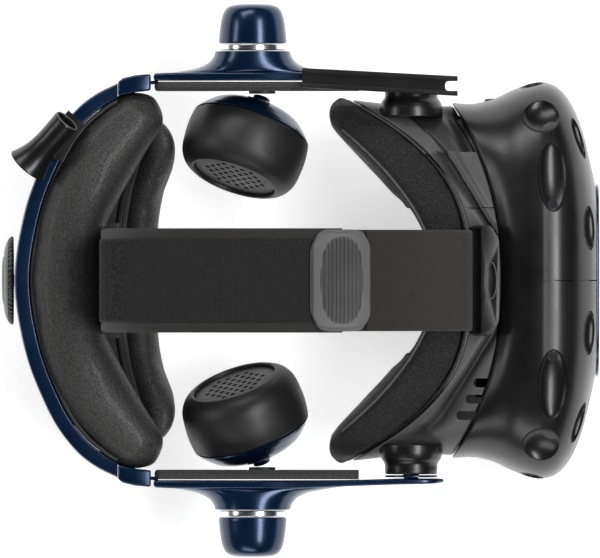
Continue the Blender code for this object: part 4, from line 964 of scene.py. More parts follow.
def build_optics(side):
    name = SIDE_NAMES[side]
    base = (LENS_X, side * EYE_OFFSET, VISOR_MIDDLE)
    front = [(0.0, 0.0)]
    for i in range(1, LENS_RINGS):
        radius = LENS_RADIUS * i / LENS_RINGS
        step = 0.12 if i % 2 else 0.0
        front.append((radius, LENS_DOME * (radius / LENS_RADIUS) ** 3 + step))
    profile = front + [(LENS_RADIUS, LENS_DOME), (LENS_RADIUS, LENS_DOME + 2.0), (11.0, 5.4), (0.0, 5.5)]
    piece(f"lens_rings_{name}", turned(profile, base, (1.0, 0.0, 0.0), 72), "lens", f"lens_unit_{name}",
          "lens_glass", f"lens_{name}")
    barrel = rounded(BARREL_SECTION, 0.5)
    base = (BARREL_X, side * EYE_OFFSET, VISOR_MIDDLE)
    piece(f"barrel_{name}", turned(barrel, base, (1.0, 0.0, 0.0), 72, closed=True), "dark",
          f"lens_unit_{name}", "black_plastic", f"lens_barrel_{name}")


# ---------------------------------------------------------------- carriage and gasket


def foam_front(y):
    share = np.minimum(np.abs(y) / FOAM_FRONT_HALF, 1.0)
    return FOAM_FRONT - FOAM_FRONT_SWEEP * share ** 2.9


def foam_face(y, lower):
    share = np.minimum(np.abs(y) / FOAM_FACE_HALF, 1.0)
    return FOAM_FACE - FOAM_FACE_SWEEP * share ** 1.9 - CHEEK_REACH * lower


def smooth_step(value, low, high):
    t = np.clip((value - low) / (high - low), 0.0, 1.0)
    return t * t * (3.0 - 2.0 * t)


def panel_relief(x, y, z, seam):
    """How far the carriage's surface stands proud (+) or sinks (-) for its creases and panels, in mm."""
    away = np.abs(y)
    crease = np.interp(away, CREASE_Y, CREASE_X)
    top = smooth_step(np.abs(z - VISOR_MIDDLE), 16.0, 24.0)
    left = (y > 0).astype(float)
    across = x - crease
    width = 1.6 + 2.6 * smooth_step(away, 30.0, 60.0)
    valley = -2.6 * np.exp(-np.clip(-across, 0.0, None) ** 2 / (2 * width ** 2)) * (across < 0.3)
    ridge = 1.1 * np.exp(-(across - 3.0) ** 2 / 3.4) * (across >= 0.3)
    fade = 1.0 - smooth_step(away, 70.0, 82.0)
    left_relief = (valley + ridge) * smooth_step(away, 18.0, 24.0)
    outer = smooth_step(away, PANEL_STEP_Y - 0.15, PANEL_STEP_Y + 0.15)
    towards_seam = 1.0 - smooth_step(seam - x, 1.5, 8.0)
    pocket = -(1.9 + 2.4 * towards_seam) * smooth_step(across, -0.4, 0.5)
    pocket_edge = -1.2 * np.exp(-(across + 0.2) ** 2 / 1.2)
    left_relief = left_relief * (1.0 - outer) + (pocket + pocket_edge) * outer
    line = -0.9 * np.exp(-((away - PANEL_LINE_Y) / 0.22) ** 2)
    right_width = 2.6 + 3.2 * smooth_step(away, 40.0, 75.0)
    right_relief = -3.2 * np.exp(-((across - 1.0) / right_width) ** 2) * smooth_step(away, 16.0,
                                                                                     26.0) * fade
    return top * (left * (left_relief + line) + (1.0 - left) * right_relief)


def carriage_ring(half_width, half_height, angles, forward_of):
    y, z = superellipse(half_width, half_height, VISOR_SQUARENESS, angles)
    return np.column_stack([forward_of(y), y, VISOR_MIDDLE + z])


def build_carriage():
    angles = even_angles(CARRIAGE_HALF_WIDTH, CARRIAGE_HALF_HEIGHT, VISOR_SQUARENESS, 1.0)
    # Extra points beside the panel lines, so that they come out straight and crisp.
    for lines in (PANEL_STEP_Y, PANEL_LINE_Y):
        for offset in (-0.5, -0.25, 0.0, 0.25, 0.5):
            share = ((lines + offset) / CARRIAGE_HALF_WIDTH) ** (VISOR_SQUARENESS / 2)
            angles = np.append(angles, [math.acos(share), 2 * math.pi - math.acos(share)])
    angles = np.sort(angles)

    def rear_edge(y):
        return foam_front(y) + FOAM_TO_CARRIAGE

    def seam_edge(y):
        return shell_rear_edge(y) - CARRIAGE_SEAM_GAP

    outer = []
    painted_crease_shade = []
    shares = np.concatenate([[0.0, 0.012, 0.03], np.linspace(0.05, 0.95, 34), [0.97, 0.985, 1.0]])
    for share in shares:
        half_width = np.interp(share, (0.0, 0.35, 0.65, 1.0), (88.0, 85.6, 84.4, CARRIAGE_HALF_WIDTH))
        half_height = np.interp(share, (0.0, 1.0), (CARRIAGE_HALF_HEIGHT, 50.8))
        edge = 0.8 * max(0.0, 1.0 - share / 0.03) ** 2 + 0.8 * max(0.0, 1.0 - (1.0 - share) / 0.03) ** 2
        y, z = superellipse(half_width - edge, half_height - edge, VISOR_SQUARENESS, angles)
        x = rear_edge(y) + (seam_edge(y) - rear_edge(y)) * share
        z = VISOR_MIDDLE + z
        relief = panel_relief(x, y, z, seam_edge(y)) * smooth_step(share, 0.0, 0.04)
        normal = np.column_stack([np.sign(y) * (np.abs(y) / half_width) ** 2.2 / half_width,
                                  np.sign(z - VISOR_MIDDLE) * (np.abs(z - VISOR_MIDDLE)
                                                               / half_height) ** 2.2 / half_height])
        normal /= np.linalg.norm(normal, axis=1)[:, None]
        outer.append(np.column_stack([x, y + normal[:, 0] * relief, z + normal[:, 1] * relief]))
        # Painted shade: how deep each point lies in a crease, kept for darkening the colour there.
        painted_crease_shade.extend(np.clip(-relief / 2.6, 0.0, 1.0))
    rings = [
        carriage_ring(76.5, 42.1, angles, lambda y: rear_edge(y) + 0.5),
        carriage_ring(86.6, 48.6, angles, rear_edge),
        *outer,
        carriage_ring(80.6, 46.4, angles, seam_edge),
        carriage_ring(80.0, 45.6, angles, lambda y: seam_edge(y) + 0.6),
        carriage_ring(80.0, 45.6, angles, lambda y: shell_rear_edge(y) + 8.0),
        carriage_ring(76.5, 42.1, angles, lambda y: shell_rear_edge(y) + 8.0),
    ]
    carriage = mesh_object("carriage_body", loft(rings, loop=True), "carriage", 32.0)
    # The painted crease shade goes onto the mesh as its recess attribute, which the material reads.
    first = 2 * len(angles)
    recess = np.zeros(len(carriage.data.vertices))
    recess[first:first + len(painted_crease_shade)] = painted_crease_shade
    layer = carriage.data.attributes.new("recess", "FLOAT", "POINT")
    layer.data.foreach_set("value", recess.astype(np.float32))
    vents = []
    for x, y, length in VENTS:
        outline = rounded(box_outline(x, y, length / 2, VENT_HALF_WIDTH), 2.1, 8)
        vents.append(prism(outline, "Z", 88.0, 120.0))
    cut(carriage, vents, sharp=32.0)
    place(carriage, "visor", "dark_grey_plastic", "carriage")


def gasket_angles(count):
    """Angles round the face from the right of the nose, over the forehead, to the left of it."""
    half_gap = math.pi / 2 - NOSE_GAP_EDGE
    start = -math.pi / 2 - half_gap
    return np.linspace(start, start - 2 * (math.pi - half_gap), count)


def gasket_curve(count, half_width, half_height, forward, beyond=0.0):
    """Points along the gasket at one place in its section. `forward` is foam_front or foam_face."""
    angles = gasket_angles(count)
    c = np.cos(angles)
    s = np.sin(angles)
    y = half_width * np.sign(c) * np.abs(c) ** 0.8
    z = half_height * np.sign(s) * np.abs(s) ** 0.8
    x = foam_front(y) if forward == "front" else foam_face(y, np.maximum(-s, 0.0))
    return np.column_stack([x + beyond, y, VISOR_MIDDLE + z])


def section_rings(corner_curves, radius, steps=4):
    """Rings of a section with four or more corners that move along curves, each corner rounded."""
    curves = np.asarray(corner_curves)
    count = curves.shape[0]
    rings = []
    for k in range(curves.shape[1]):
        corners = curves[:, k]
        ring = []
        for i in range(count):
            before = corners[i - 1] - corners[i]
            after = corners[(i + 1) % count] - corners[i]
            reach_before = min(radius, np.linalg.norm(before) * 0.46)
            reach_after = min(radius, np.linalg.norm(after) * 0.46)
            start = corners[i] + before / np.linalg.norm(before) * reach_before
            end = corners[i] + after / np.linalg.norm(after) * reach_after
            for j in range(steps + 1):
                t = j / steps
                ring.append(start * (1 - t) ** 2 + corners[i] * 2 * t * (1 - t) + end * t * t)
        rings.append(ring)
    return rings


def end_caps(rings, depth):
    """Add shrinking rings beyond both ends, so that a soft bar ends in a round nose."""
    rings = [np.asarray(ring, float) for ring in rings]
    for first, second in ((0, 1), (-1, -2)):
        end = rings[first]
        out = end.mean(axis=0) - rings[second].mean(axis=0)
        out = out / np.linalg.norm(out) * depth
        extra = []
        for t in (0.35, 0.65, 0.88, 1.0):
            scale = math.sqrt(max(1.0 - t * t, 0.02))
            extra.append(end.mean(axis=0) + (end - end.mean(axis=0)) * scale + out * t)
        rings = extra[::-1] + rings if first == 0 else rings + extra
    return rings


def tube_along(points, radius, steps=8, closed=False):
    """Thin round cord along 3-D points."""
    points = np.asarray(points, float)
    rings = []
    count = len(points)
    for i in range(count):
        along = points[min(i + 1, count - 1)] - points[max(i - 1, 0)]
        if closed:
            along = points[(i + 1) % count] - points[i - 1]
        side, up = axis_frame(along)[:2]
        angles = full_turn(steps)
        rings.append(points[i] + radius * (np.outer(np.cos(angles), side) + np.outer(np.sin(angles), up)))
    return loft(rings, loop=closed)


def inflate(obj, voxel_mm, limit_mm, pressure=4.0, frames=20, grow=1.2):
    """Swell a pad by cloth pressure: remesh, simulate, cap each point's travel, subdivide once."""
    remesh = obj.modifiers.new("Remesh", "REMESH")
    remesh.mode = "VOXEL"
    remesh.voxel_size = voxel_mm * MM
    apply_modifiers(obj, 180.0)
    outward = np.array([v.normal for v in obj.data.vertices])
    rest = np.array([v.co for v in obj.data.vertices]) + outward * grow * MM
    obj.data.vertices.foreach_set("co", rest.ravel())
    cloth = obj.modifiers.new("Cloth", "CLOTH")
    cloth.settings.use_pressure = True
    cloth.settings.uniform_pressure_force = pressure
    cloth.settings.effector_weights.gravity = 0.0
    cloth.point_cache.frame_start = 1
    cloth.point_cache.frame_end = frames
    scene = bpy.context.scene
    for step in range(1, frames + 1):
        scene.frame_set(step)
    apply_modifiers(obj, 180.0)
    scene.frame_set(1)
    moved = np.array([v.co for v in obj.data.vertices])
    shift = moved - rest
    reach = np.linalg.norm(shift, axis=1)
    scale = np.minimum(1.0, limit_mm * MM / np.maximum(reach, 1e-9))
    settled = rest + shift * scale[:, None]
    obj.data.vertices.foreach_set("co", settled.ravel())
    smooth = obj.modifiers.new("Smooth", "SMOOTH")
    smooth.iterations = 4
    smooth.factor = 0.4
    subdivide = obj.modifiers.new("Subdivide", "SUBSURF")
    subdivide.levels = 1
    apply_modifiers(obj, 180.0)
    return obj


def build_face_cushion():
    """Velour face cushion with a piped edge, its cheek part lined in smoother foam."""
    count = 90
    corners = [gasket_curve(count, *corner) for corner in CUSHION_SECTION]
    rings = end_caps(section_rings(corners, 4.5), 3.0)
    cushion = mesh_object("face_cushion_foam", loft(rings), "foam", 180.0)
    inflate(cushion, 4.0, 1.2, 2.5, 14, 1.3)
    mesh = cushion.data
    mesh.materials.append(MATERIALS["liner"])
    for face in mesh.polygons:
        centre = face.center / MM
        # The cheek part is the lower half of the side towards the face.
        if centre.z < VISOR_MIDDLE + 4.0 and centre.x < foam_front(centre.y) - 5.0:
            face.material_index = 1
    place(cushion, "visor", "black_velour_foam", "face_cushion")
    seam = gasket_curve(160, 79.6, 48.6, "face", 0.4)
    seam = seam[(seam[:, 2] > VISOR_MIDDLE + 16.0) & (np.abs(seam[:, 1]) < 74.0)]
    piece("face_cushion_piping", tube_along(seam, 0.55), "rubber", "visor", "black_velour_foam")


def build_gasket_frame():
    count = 180
    corners = [gasket_curve(count, *corner) for corner in GASKET_SECTION]
    piece("gasket_rim", loft(section_rings(corners, 0.5, 3)), "dark", "visor", "black_plastic",
          "gasket_frame")
    # Two fine light grey lines outside the rim on the wearer's left: painted highlights along the lit edge
    # of the gasket.
    for number, (width, beyond) in enumerate(((90.1, 1.2), (89.3, 2.5))):
        line = gasket_curve(260, width, 50.2, "front", beyond)
        line = line[(line[:, 1] > 61.0) & (line[:, 1] < 85.5) & (line[:, 2] > VISOR_MIDDLE)]
        piece(f"gasket_highlight_line_{number}", tube_along(line, 0.42), "rubber", "visor", "dark_grey_plastic")


def build_nose_gasket():
    rings = []
    for share in np.linspace(-1.0, 1.0, 41):
        low = 19.0 + 22.0 * (1.0 - share ** 2)
        y = 24.0 * share
        ring = rounded([(71.0, low), (69.4, low + 1.4), (81.4, low - 0.6), (81.4, low - 2.2)], 0.5, 3)
        rings.append([(x, y, z) for x, z in ring])
    piece("nose_flap", loft(rings), "liner", "visor", "grey_rubber", "nose_gasket")


def build_strap_bracket():
    outline = rounded(BRACKET_OUTLINE, 2.6, 6)
    bracket = mesh_object("bracket_body", prism(outline, "Z", BRACKET_LOW, BRACKET_TOP), "shell")
    oval = [(OVAL_X + 2.2 * math.cos(a), 8.0 * math.sin(a)) for a in full_turn(40)]
    cut(bracket, [prism(BRACKET_SLOT, "Z", 113.0, 124.0), prism(oval, "Z", BRACKET_TOP - 1.0, 122.0)])
    bevel(bracket, 0.7, 3)
    place(bracket, "visor", "black_satin_plastic", "strap_bracket")
    ring = [(OVAL_X + 2.9 * math.cos(a), 9.0 * math.sin(a), 119.45) for a in full_turn(64)]
    piece("bracket_oval_rim", tube_along(ring, 0.35, closed=True), "rubber", "visor", "grey_rubber")


def build_tilt_hub(side):
    name = SIDE_NAMES[side]
    axis = (0.0, side, 0.0)
    flange = rounded(HUB_FLANGE, 0.9, 4, closed=False)
    base = (PIVOT[0], side * HUB_FACE, PIVOT[1])
    piece(f"pivot_hub_{name}", turned(flange, base, axis, 72), "shell", "visor", "black_satin_plastic",
          f"tilt_hub_{name}")
    washer = rounded(WASHER_SECTION, 0.3, 3)
    start = (PIVOT[0], side * WASHER_FACE, PIVOT[1])
    piece(f"pivot_washer_{name}", turned(washer, start, axis, 72, closed=True), "blue", "arms",
          "dark_blue_plastic", f"tilt_washer_{name}")


# ---------------------------------------------------------------- arms


def build_arm(side):
    name = SIDE_NAMES[side]
    rings = []
    for x, inner, outer, middle, half in smooth_curve(ARM_STATIONS, 1.5):
        section = rounded([(inner, middle - half), (inner, middle + half), (outer, middle + half),
                           (outer, middle - half)], 1.3, 5)
        rings.append([(x, side * y, z) for y, z in section])
    tongue = [(-85.0, side * 95.4), (-69.0, side * 95.4), (-69.0, side * 97.6), (-72.0, side * 97.0),
              (-85.0, side * 97.0)]
    arm = mesh_object(f"arm_body_{name}", loft(end_caps(rings, 1.0)), "blue")
    cut(arm, [prism(tongue, "Z", 67.5, 84.5)], "UNION")
    bore = turned(PIVOT_BORE, (PIVOT[0], side * 92.0, PIVOT[1]), (0, side, 0))
    cut(arm, [bore])
    place(arm, "arms", "dark_blue_plastic", f"arm_{name}")
    # Oval cone that grows out of the arm into a round neck.
    flare = smooth_curve(HUB_FLARE, 0.6)
    rings = []
    angles = full_turn(HUB_STEPS)
    for outward, length, height in flare:
        rings.append(np.column_stack([HUB[0] + length * np.cos(angles),
                                      np.full(HUB_STEPS, side * outward),
                                      HUB[1] + height * np.sin(angles)]))
    for share in (0.99, 0.965, 0.9):
        last = rings[-1].copy()
        last[:, 0] = HUB[0] + HUB_NECK_RADIUS * share * np.cos(angles)
        last[:, 2] = HUB[1] + HUB_NECK_RADIUS * share * np.sin(angles)
        last[:, 1] = side * (HUB_NECK_END + 1.2 * (1.0 - share))
        rings.append(last)
    piece(f"arm_cone_{name}", loft(rings), "blue", "arms", "dark_blue_plastic")


def build_arm_pad(side):
    """Felt-covered pad inside the arm, with soft edges and a notch cut out of it."""
    name = SIDE_NAMES[side]
    rings = []
    for x, half in smooth_curve(ARM_PAD_STATIONS, 1.6):
        middle = HUB[1] + (x - HUB[0]) * 0.065
        section = rounded([(96.6, middle - half), (96.6, middle + half), (93.8, middle + half),
                           (92.1, middle + half - 2.6), (92.1, middle - half + 2.6),
                           (93.8, middle - half)], 1.5, 4)
        rings.append([(x, side * y, z) for y, z in section])
    pad = mesh_object(f"arm_pad_felt_{name}", loft(end_caps(rings, 1.4)), "felt", 60.0)
    middle = CUP_CENTRE[0] + 7.8
    low, high = sorted((side * 90.0, side * 93.8))
    cut(pad, [prism([(middle - 7.4, low), (middle + 7.4, low), (middle + 7.4, high),
                     (middle - 7.4, high)],
                    "Z", 50.0, 91.5)], sharp=60.0)
    place(pad, "arms", "grey_arm_pad", f"arm_pad_{name}")


def build_hub_trim(side):
    name = SIDE_NAMES[side]
    axis = (0.0, side, 0.0)
    ring = rounded(RING_SECTION, 0.5, 4, closed=False)
    piece(f"hub_trim_{name}", turned(ring, (HUB[0], side * RING_FACE, HUB[1]), axis, HUB_STEPS), "chrome",
          "arms", "bright_ring", f"hub_ring_{name}")
    curve = [tuple(p) for p in smooth_curve(HUB_CAP_PROFILE, 0.8)] + [*HUB_CAP_END]
    piece(f"hub_knob_{name}", turned(curve, (HUB[0], side * CAP_FACE, HUB[1]), axis, HUB_STEPS), "blue",
          "arms", "dark_blue_plastic", f"hub_cap_{name}")


def build_cable_channel():
    """Open-topped channel on the left arm, ending in a two-pronged fork."""
    rings = []
    for x, y, z in smooth_curve(GUTTER_PATH, 2.0):
        outline = rounded(GUTTER_SECTION, 0.55, 3)
        rings.append([(x, y + a, z + b) for a, b in outline])
    channel = mesh_object("cable_gutter", loft(rings), "shell")
    slot = rounded(FORK_SLOT, 2.0, 6)
    cut(channel, [prism(slot, "Z", 94.0, 110.0)])
    place(channel, "arms", "black_satin_plastic", "cable_channel")


# ---------------------------------------------------------------- rear


def band_plan(spacing):
    """The band's outer line from its left end to its right end, and unit vectors to its inside."""
    left = smooth_curve(BAND_PATH, spacing)
    line = np.vstack([left, left[-2::-1] * (1.0, -1.0)])
    inward = line_normals(line)
    blend = smooth_step(np.abs(line[:, 1]), 88.0, 96.0)[:, None]
    square = np.column_stack([np.zeros(len(line)), -np.sign(line[:, 1])])
    inward = inward * (1.0 - blend) + square * blend
    return line, inward / np.linalg.norm(inward, axis=1)[:, None]


def band_heights(y):
    share = 1.0 - min(abs(y) / BAND_REACH, 1.0)
    share = share * share * (3.0 - 2.0 * share)
    return tuple(end + (rear - end) * share for end, rear in zip(BAND_END, BAND_REAR))


def sweep_band(section, radius, spacing=2.0, inset=0.0):
    """Skin a section of (depth, height share, height offset) along the band, its corners rounded."""
    rings = []
    for point, inward in zip(*band_plan(spacing)):
        middle, half = band_heights(point[1])
        outline = rounded([(depth, middle + share * (half - inset) + offset) for depth, share,
                           offset in section], radius)
        rings.append([(point[0] + inward[0] * depth, point[1] + inward[1] * depth, z)
                      for depth, z in outline])
    return rings


def build_rear_band():
    thick = BAND_THICKNESS
    section = [(0.6, 1.0, 0.0), (thick, 1.0, 0.0), (thick, 1.0, -BAND_LIP), (BAND_WALL, 1.0, -BAND_LIP),
               (BAND_WALL, -1.0, BAND_LIP), (thick, -1.0, BAND_LIP), (thick, -1.0, 0.0), (0.6, -1.0, 0.0),
               (0.0, -1.0, 2.4), (0.0, 1.0, -2.4)]
    band = mesh_object("band_shell", loft(sweep_band(section, 0.8)), "blue")
    cut(band, [turned([(0.0, 0.0), (3.6, 0.0), (3.6, 9.0), (0.0, 9.0)], (-142.0, 0.0, DIAL_Z),
                      (1.0, 0.0, 0.0))])
    place(band, "rear", "dark_blue_plastic", "rear_band")
    piece("band_liner", loft(sweep_band(BAND_LINER_SECTION, 0.5, inset=1.5)), "dark", "rear",
          "black_plastic", "rear_frame")


def cushion_rings(stations, spacing, shrink, overhang, steps=32):
    """Rounded sections between back and front points, from the left end to the right end."""
    rings = []
    angles = full_turn(steps)
    a, b = superellipse(1.0, 1.0, 2.5, angles)
    half = smooth_curve(stations, spacing)
    for bx, by, fx, fy, low, high in half:
        back = np.array([bx, by])
        ahead = np.array([fx, fy]) - back
        back = back - ahead / np.linalg.norm(ahead) * overhang
        reach = (np.array([fx, fy]) - back) / 2
        length = np.linalg.norm(reach)
        reach = reach * max(length - shrink, 0.5 * length) / length
        middle = back + (np.array([fx, fy]) - back) / 2
        tall = (high - low) / 2 - shrink
        rings.append(np.column_stack([middle[0] + reach[0] * a, middle[1] + reach[1] * a,
                                      (low + high) / 2 + tall * b]))
    mirrored = [ring * (1.0, -1.0, 1.0) for ring in rings[-2::-1]]
    return rings + mirrored


def build_rear_cushions():
    for name, stations, fill, overhang, limit in (("upper_cushion", UPPER_CUSHION, 0.75, 3.2, 2.0),
                                                  ("lower_cushion", LOWER_CUSHION, 0.7, 0.8, 1.2)):
        rings = end_caps(cushion_rings(stations, 3.0, 0.6, overhang), 4.0)
        cushion = mesh_object(f"{name}_padded", loft(rings), "leatherette", 180.0)
        inflate(cushion, 4.0, limit, 3.5, 16, 0.9)
        place(cushion, "rear", "grey_leatherette", name)


def build_rear_hardware():
    for side in (LEFT, RIGHT):
        name = SIDE_NAMES[side]
        refined(f"band_sleeve_{name}", f"sleeve_{name}", "blue", "dark_blue_plastic", 0.9)
    half = smooth_curve(LOWER_CARRIER, 2.0)
    rings = []
    for outer_x, outer_y, inner_x, inner_y, low, high in half:
        low = max(low, 0.0)
        outline = rounded([(outer_x, outer_y, low), (inner_x, inner_y, low), (inner_x, inner_y, high),
                           (outer_x, outer_y, high)], 1.1, 3)
        rings.append(np.array(outline))
    strip = mesh_object("carrier_strip",
                        loft(rings + [ring * (1.0, -1.0, 1.0) for ring in rings[-2::-1]]), "dark")
    bar = rounded(STRAP_ANCHOR, 1.2)
    cut(strip, [prism(bar, "Y", -28.0, 28.0)], "UNION")
    place(strip, "rear", "black_plastic", "lower_carrier")
    build_gap_shade_sheet()


def build_gap_shade_sheet():
    """Dark sheet across the gap between the upper cushion and the lower one: painted shade standing in for
    the deep shadow in that gap.
    """
    upper = smooth_curve(UPPER_CUSHION, 3.0)[::-1]
    lower = smooth_curve(LOWER_CUSHION, 3.0)[::-1]
    rings = []
    for y in np.linspace(-GAP_SHADE_HALF_WIDTH, GAP_SHADE_HALF_WIDTH, 69):
        back = np.interp(abs(y), upper[:, 3], upper[:, 2]) - 7.0
        back_z = np.interp(abs(y), upper[:, 3], upper[:, 4]) + 3.0
        front = np.interp(abs(y), lower[:, 1], lower[:, 0]) + 2.0
        front_z = np.interp(abs(y), lower[:, 1], lower[:, 5]) - 7.0
        sag = ((back + front) / 2, y, (back_z + front_z) / 2 - 2.5)
        top = [(back, y, back_z), sag, (front, y, front_z)]
        rings.append(top + [(x, y, z - 1.8) for x, y, z in top[::-1]])
    # Painted shade: a dark sheet where the gap between the cushions holds only shadow.
    piece("cushion_gap_shade_sheet", loft(rings), "liner", "rear", "grey_rubber")


def build_dial():
    axis = (1.0, 0.0, 0.0)
    base = (-139.6, 0.0, DIAL_Z)
    dome = smooth_curve(DIAL_DOME, 0.4)
    profile = [(0.0, 7.9), (3.0, 7.9), (3.0, 0.0), (20.6, 0.0), (21.4, -0.3)] + [tuple(p) for p in dome]
    piece("dial_ribbed", turned(profile, base, axis, 360, ridges=48, ridge_depth=0.6), "shell", "dial",
          "black_satin_plastic", "fit_dial")


def build_cable_clip():
    top = Vector(CLIP_TOP)
    along = Vector(CLIP_MOUTH) - top
    length = along.length
    outer = smooth_curve([(6.6, 0.5), (6.5, length * 0.3), (6.6, length * 0.52), (7.4, length * 0.72),
                          (9.0, length * 0.9), (10.3, length)], 1.0)
    inner = smooth_curve([(9.5, length), (8.3, length * 0.9), (6.5, length * 0.72), (5.6, length * 0.5),
                          (5.5, 0.5)], 1.0)
    lip = [(10.3, length + 0.25), (10.0, length + 0.4), (9.6, length + 0.2)]
    profile = [tuple(p) for p in outer] + lip + [tuple(p) for p in inner] + [(5.6, 0.1), (5.9, -0.1),
                                                                             (6.4, 0.1)]
    piece("clip_trumpet", turned(profile, top, along, 64, closed=True), "shell", "rear",
          "black_satin_plastic", "cable_clip")
    side_axis, up_axis = axis_frame(along)[:2]
    circle_angles = full_turn(48)
    edge = np.array(top) + 6.0 * (np.outer(np.cos(circle_angles), side_axis)
                                  + np.outer(np.sin(circle_angles), up_axis))
    piece("clip_opening_rim", tube_along(edge, 0.4, closed=True), "rubber", "rear", "black_satin_plastic")
    rings = []
    hook = BAND_THICKNESS + 2.2
    for point, inward in zip(*band_plan(1.5)):
        if 60.0 < point[1] < 82.0:
            middle, half = band_heights(point[1])
            section = rounded([(-2.4, -9.0), (-2.4, 3.4), (hook, 3.4), (hook, 0.5), (-0.5, 0.5),
                               (-0.5, -9.0)], 0.6)
            rings.append([(point[0] + inward[0] * depth, point[1] + inward[1] * depth,
                           middle + half + rise)
                          for depth, rise in section])
    piece("clip_saddle", loft(rings), "shell", "rear", "black_satin_plastic")


# ---------------------------------------------------------------- strap


def strap_line(start=None, end=None, spacing=1.0):
    """Points of the strap's centre path, whole or between two forward positions."""
    line = smooth_curve(STRAP_PATH, spacing)
    if start is not None:
        first = np.argmax((line[:, 0] >= start) & (line[:, 1] > 150.0)) if start > -60.0 else 0
        line = line[first:]
    if end is not None:
        last = np.argmax(line[:, 0] > end)
        line = line[:last] if last else line
    return line


def offset_line(line, lift):
    return line + line_normals(line) * lift


def tape(name, line, thickness, half_width, finish, columns=40, relief=None):
    """Woven tape whose middle surface follows a line in the XZ plane, with weave attributes in mm."""
    normal = line_normals(line)
    distance = distances(line)
    y = np.linspace(-half_width, half_width, columns)
    edge = np.sqrt(np.clip(1.0 - np.clip((np.abs(y) - half_width + 0.9) / 0.9, 0.0, 1.0) ** 2, 0.08, 1.0))
    rings = []
    for point, out, s in zip(line, normal, distance):
        high = thickness / 2 * edge
        if relief is not None:
            high = high + relief(s, y, distance[-1])
        top = np.column_stack([point[0] + out[0] * high, y, point[1] + out[1] * high])
        low = -thickness / 2 * edge
        bottom = np.column_stack([point[0] + out[0] * low, y, point[1] + out[1] * low])
        rings.append(np.vstack([top, bottom[::-1]]))
    points, faces = loft(rings)
    mesh = bpy.data.meshes.new(name)
    mesh.from_pydata((points * MM).tolist(), [], faces)
    for attribute, values in (("along", np.repeat(distance, 2 * columns)), ("across", points[:, 1])):
        layer = mesh.attributes.new(attribute, "FLOAT", "POINT")
        layer.data.foreach_set("value", values.astype(np.float32))
    bm = bmesh.new()
    bm.from_mesh(mesh)
    bmesh.ops.recalc_face_normals(bm, faces=bm.faces)
    bm.to_mesh(mesh)
    bm.free()
    soften(mesh, 50.0)
    mesh.materials.append(MATERIALS[finish])
    obj = add_object(name, mesh)
    return obj


def loop_relief(s, y, total):
    """Fine ribs of the hook-and-loop panel, a little uneven, fading out at its rim."""
    ribs = 0.16 * math.sin(2 * math.pi * s / LOOP_RIB_PITCH)
    fuzz = np.array([noise.noise(Vector((s * 1.7, value * 1.7, 3.0))) for value in y]) * 0.22
    rim = smooth_step(LOOP_PANEL_HALF_WIDTH - np.abs(y), 0.0, 1.2) * smooth_step(min(s, total - s), 0.0,
                                                                                 1.5)
    return (ribs + fuzz) * rim


def build_strap():
    lower = tape("strap_rear_lower", offset_line(strap_line(end=STRAP_JOIN), STRAP_THICKNESS / 2),
                 STRAP_THICKNESS,
                 STRAP_WIDTH / 2, "strap")
    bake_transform(lower)
    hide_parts("strap_lower")
    line = strap_line(end=LOOP_PANEL_END, spacing=LOOP_RIB_PITCH / 5)
    line = line[line[:, 1] > 98.0]
    panel = tape("strap_loop_panel", offset_line(line, STRAP_THICKNESS + 0.25), 0.8,
                 LOOP_PANEL_HALF_WIDTH,
                 "loops", 56, loop_relief)
    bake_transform(panel)
    # The front of the strap runs to the bracket, folds round its bar and comes back to the pull tab.
    out = strap_line(start=STRAP_JOIN - 1.0, end=FOLD_END)
    under = offset_line(out, STRAP_THICKNESS / 2)
    over = offset_line(strap_line(start=TAB_END - 3.0, end=FOLD_END), STRAP_THICKNESS * 1.5 + 0.4)
    centre = (under[-1] + over[-1]) / 2
    reach = np.linalg.norm(over[-1] - under[-1]) / 2
    ahead = (under[-1] - under[-2]) / np.linalg.norm(under[-1] - under[-2])
    up = (over[-1] - under[-1]) / (2 * reach)
    bend = [centre - up * reach * math.cos(a) + ahead * reach * math.sin(a) * 1.4
            for a in np.linspace(0.0, math.pi, 11)[1:-1]]
    folded = tape("strap_front_fold", np.vstack([under, bend, over[::-1]]), STRAP_THICKNESS * 0.94, 24.5,
                  "webbing")
    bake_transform(folded)
    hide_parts("strap_upper")
    build_pull_tab()


def build_pull_tab():
    """Rubber tab with upright ribs in a lens-shaped recess."""
    line = offset_line(strap_line(start=TAB_START, end=TAB_END, spacing=0.25), STRAP_THICKNESS + 0.4)
    normal = line_normals(line)
    distance = distances(line)
    length = distance[-1]
    rings = []
    for point, out, s in zip(line, normal, distance):
        u = 2.0 * s / length - 1.0
        reach = TAB_HALF_WIDTH * (1.0 - 0.42 * abs(u) ** 5.5)
        y = np.linspace(-reach, reach, 90)
        v = y / TAB_HALF_WIDTH
        inside = 1.0 - (abs(u) / 0.70) ** 2.6 - (np.abs(v) / 0.86) ** 2.6
        bowl = smooth_step(inside, 0.0, 0.16)
        ribs = 0.5 - 0.5 * math.cos(2 * math.pi * TAB_RIBS * (u / 0.70 + 1.0) / 2.0)
        crown = 0.9 * (1.0 - 0.45 * u * u) + 3.0
        border = smooth_step(1.0 - np.abs(y) / reach, 0.0, 0.07) * smooth_step(1.0 - abs(u), 0.0, 0.10)
        high = 1.2 + (crown - 1.2) * (0.25 + 0.75 * border) - bowl * (1.3 - 1.25 * ribs)
        top = np.column_stack([point[0] + out[0] * high, y, point[1] + out[1] * high])
        low = np.zeros_like(y)
        bottom = np.column_stack([point[0] + out[0] * low, y, point[1] + out[1] * low])
        rings.append(np.vstack([top, bottom[::-1]]))
    piece("pull_tab_ribbed", loft(rings), "rubber", "arms", "grey_rubber", "pull_tab", sharp=50.0)


# ---------------------------------------------------------------- earcups


def cup_direction(side):
    flat = math.cos(CUP_LIFT)
    return np.array([-math.sin(CUP_YAW) * flat, -side * math.cos(CUP_YAW) * flat, math.sin(CUP_LIFT)])


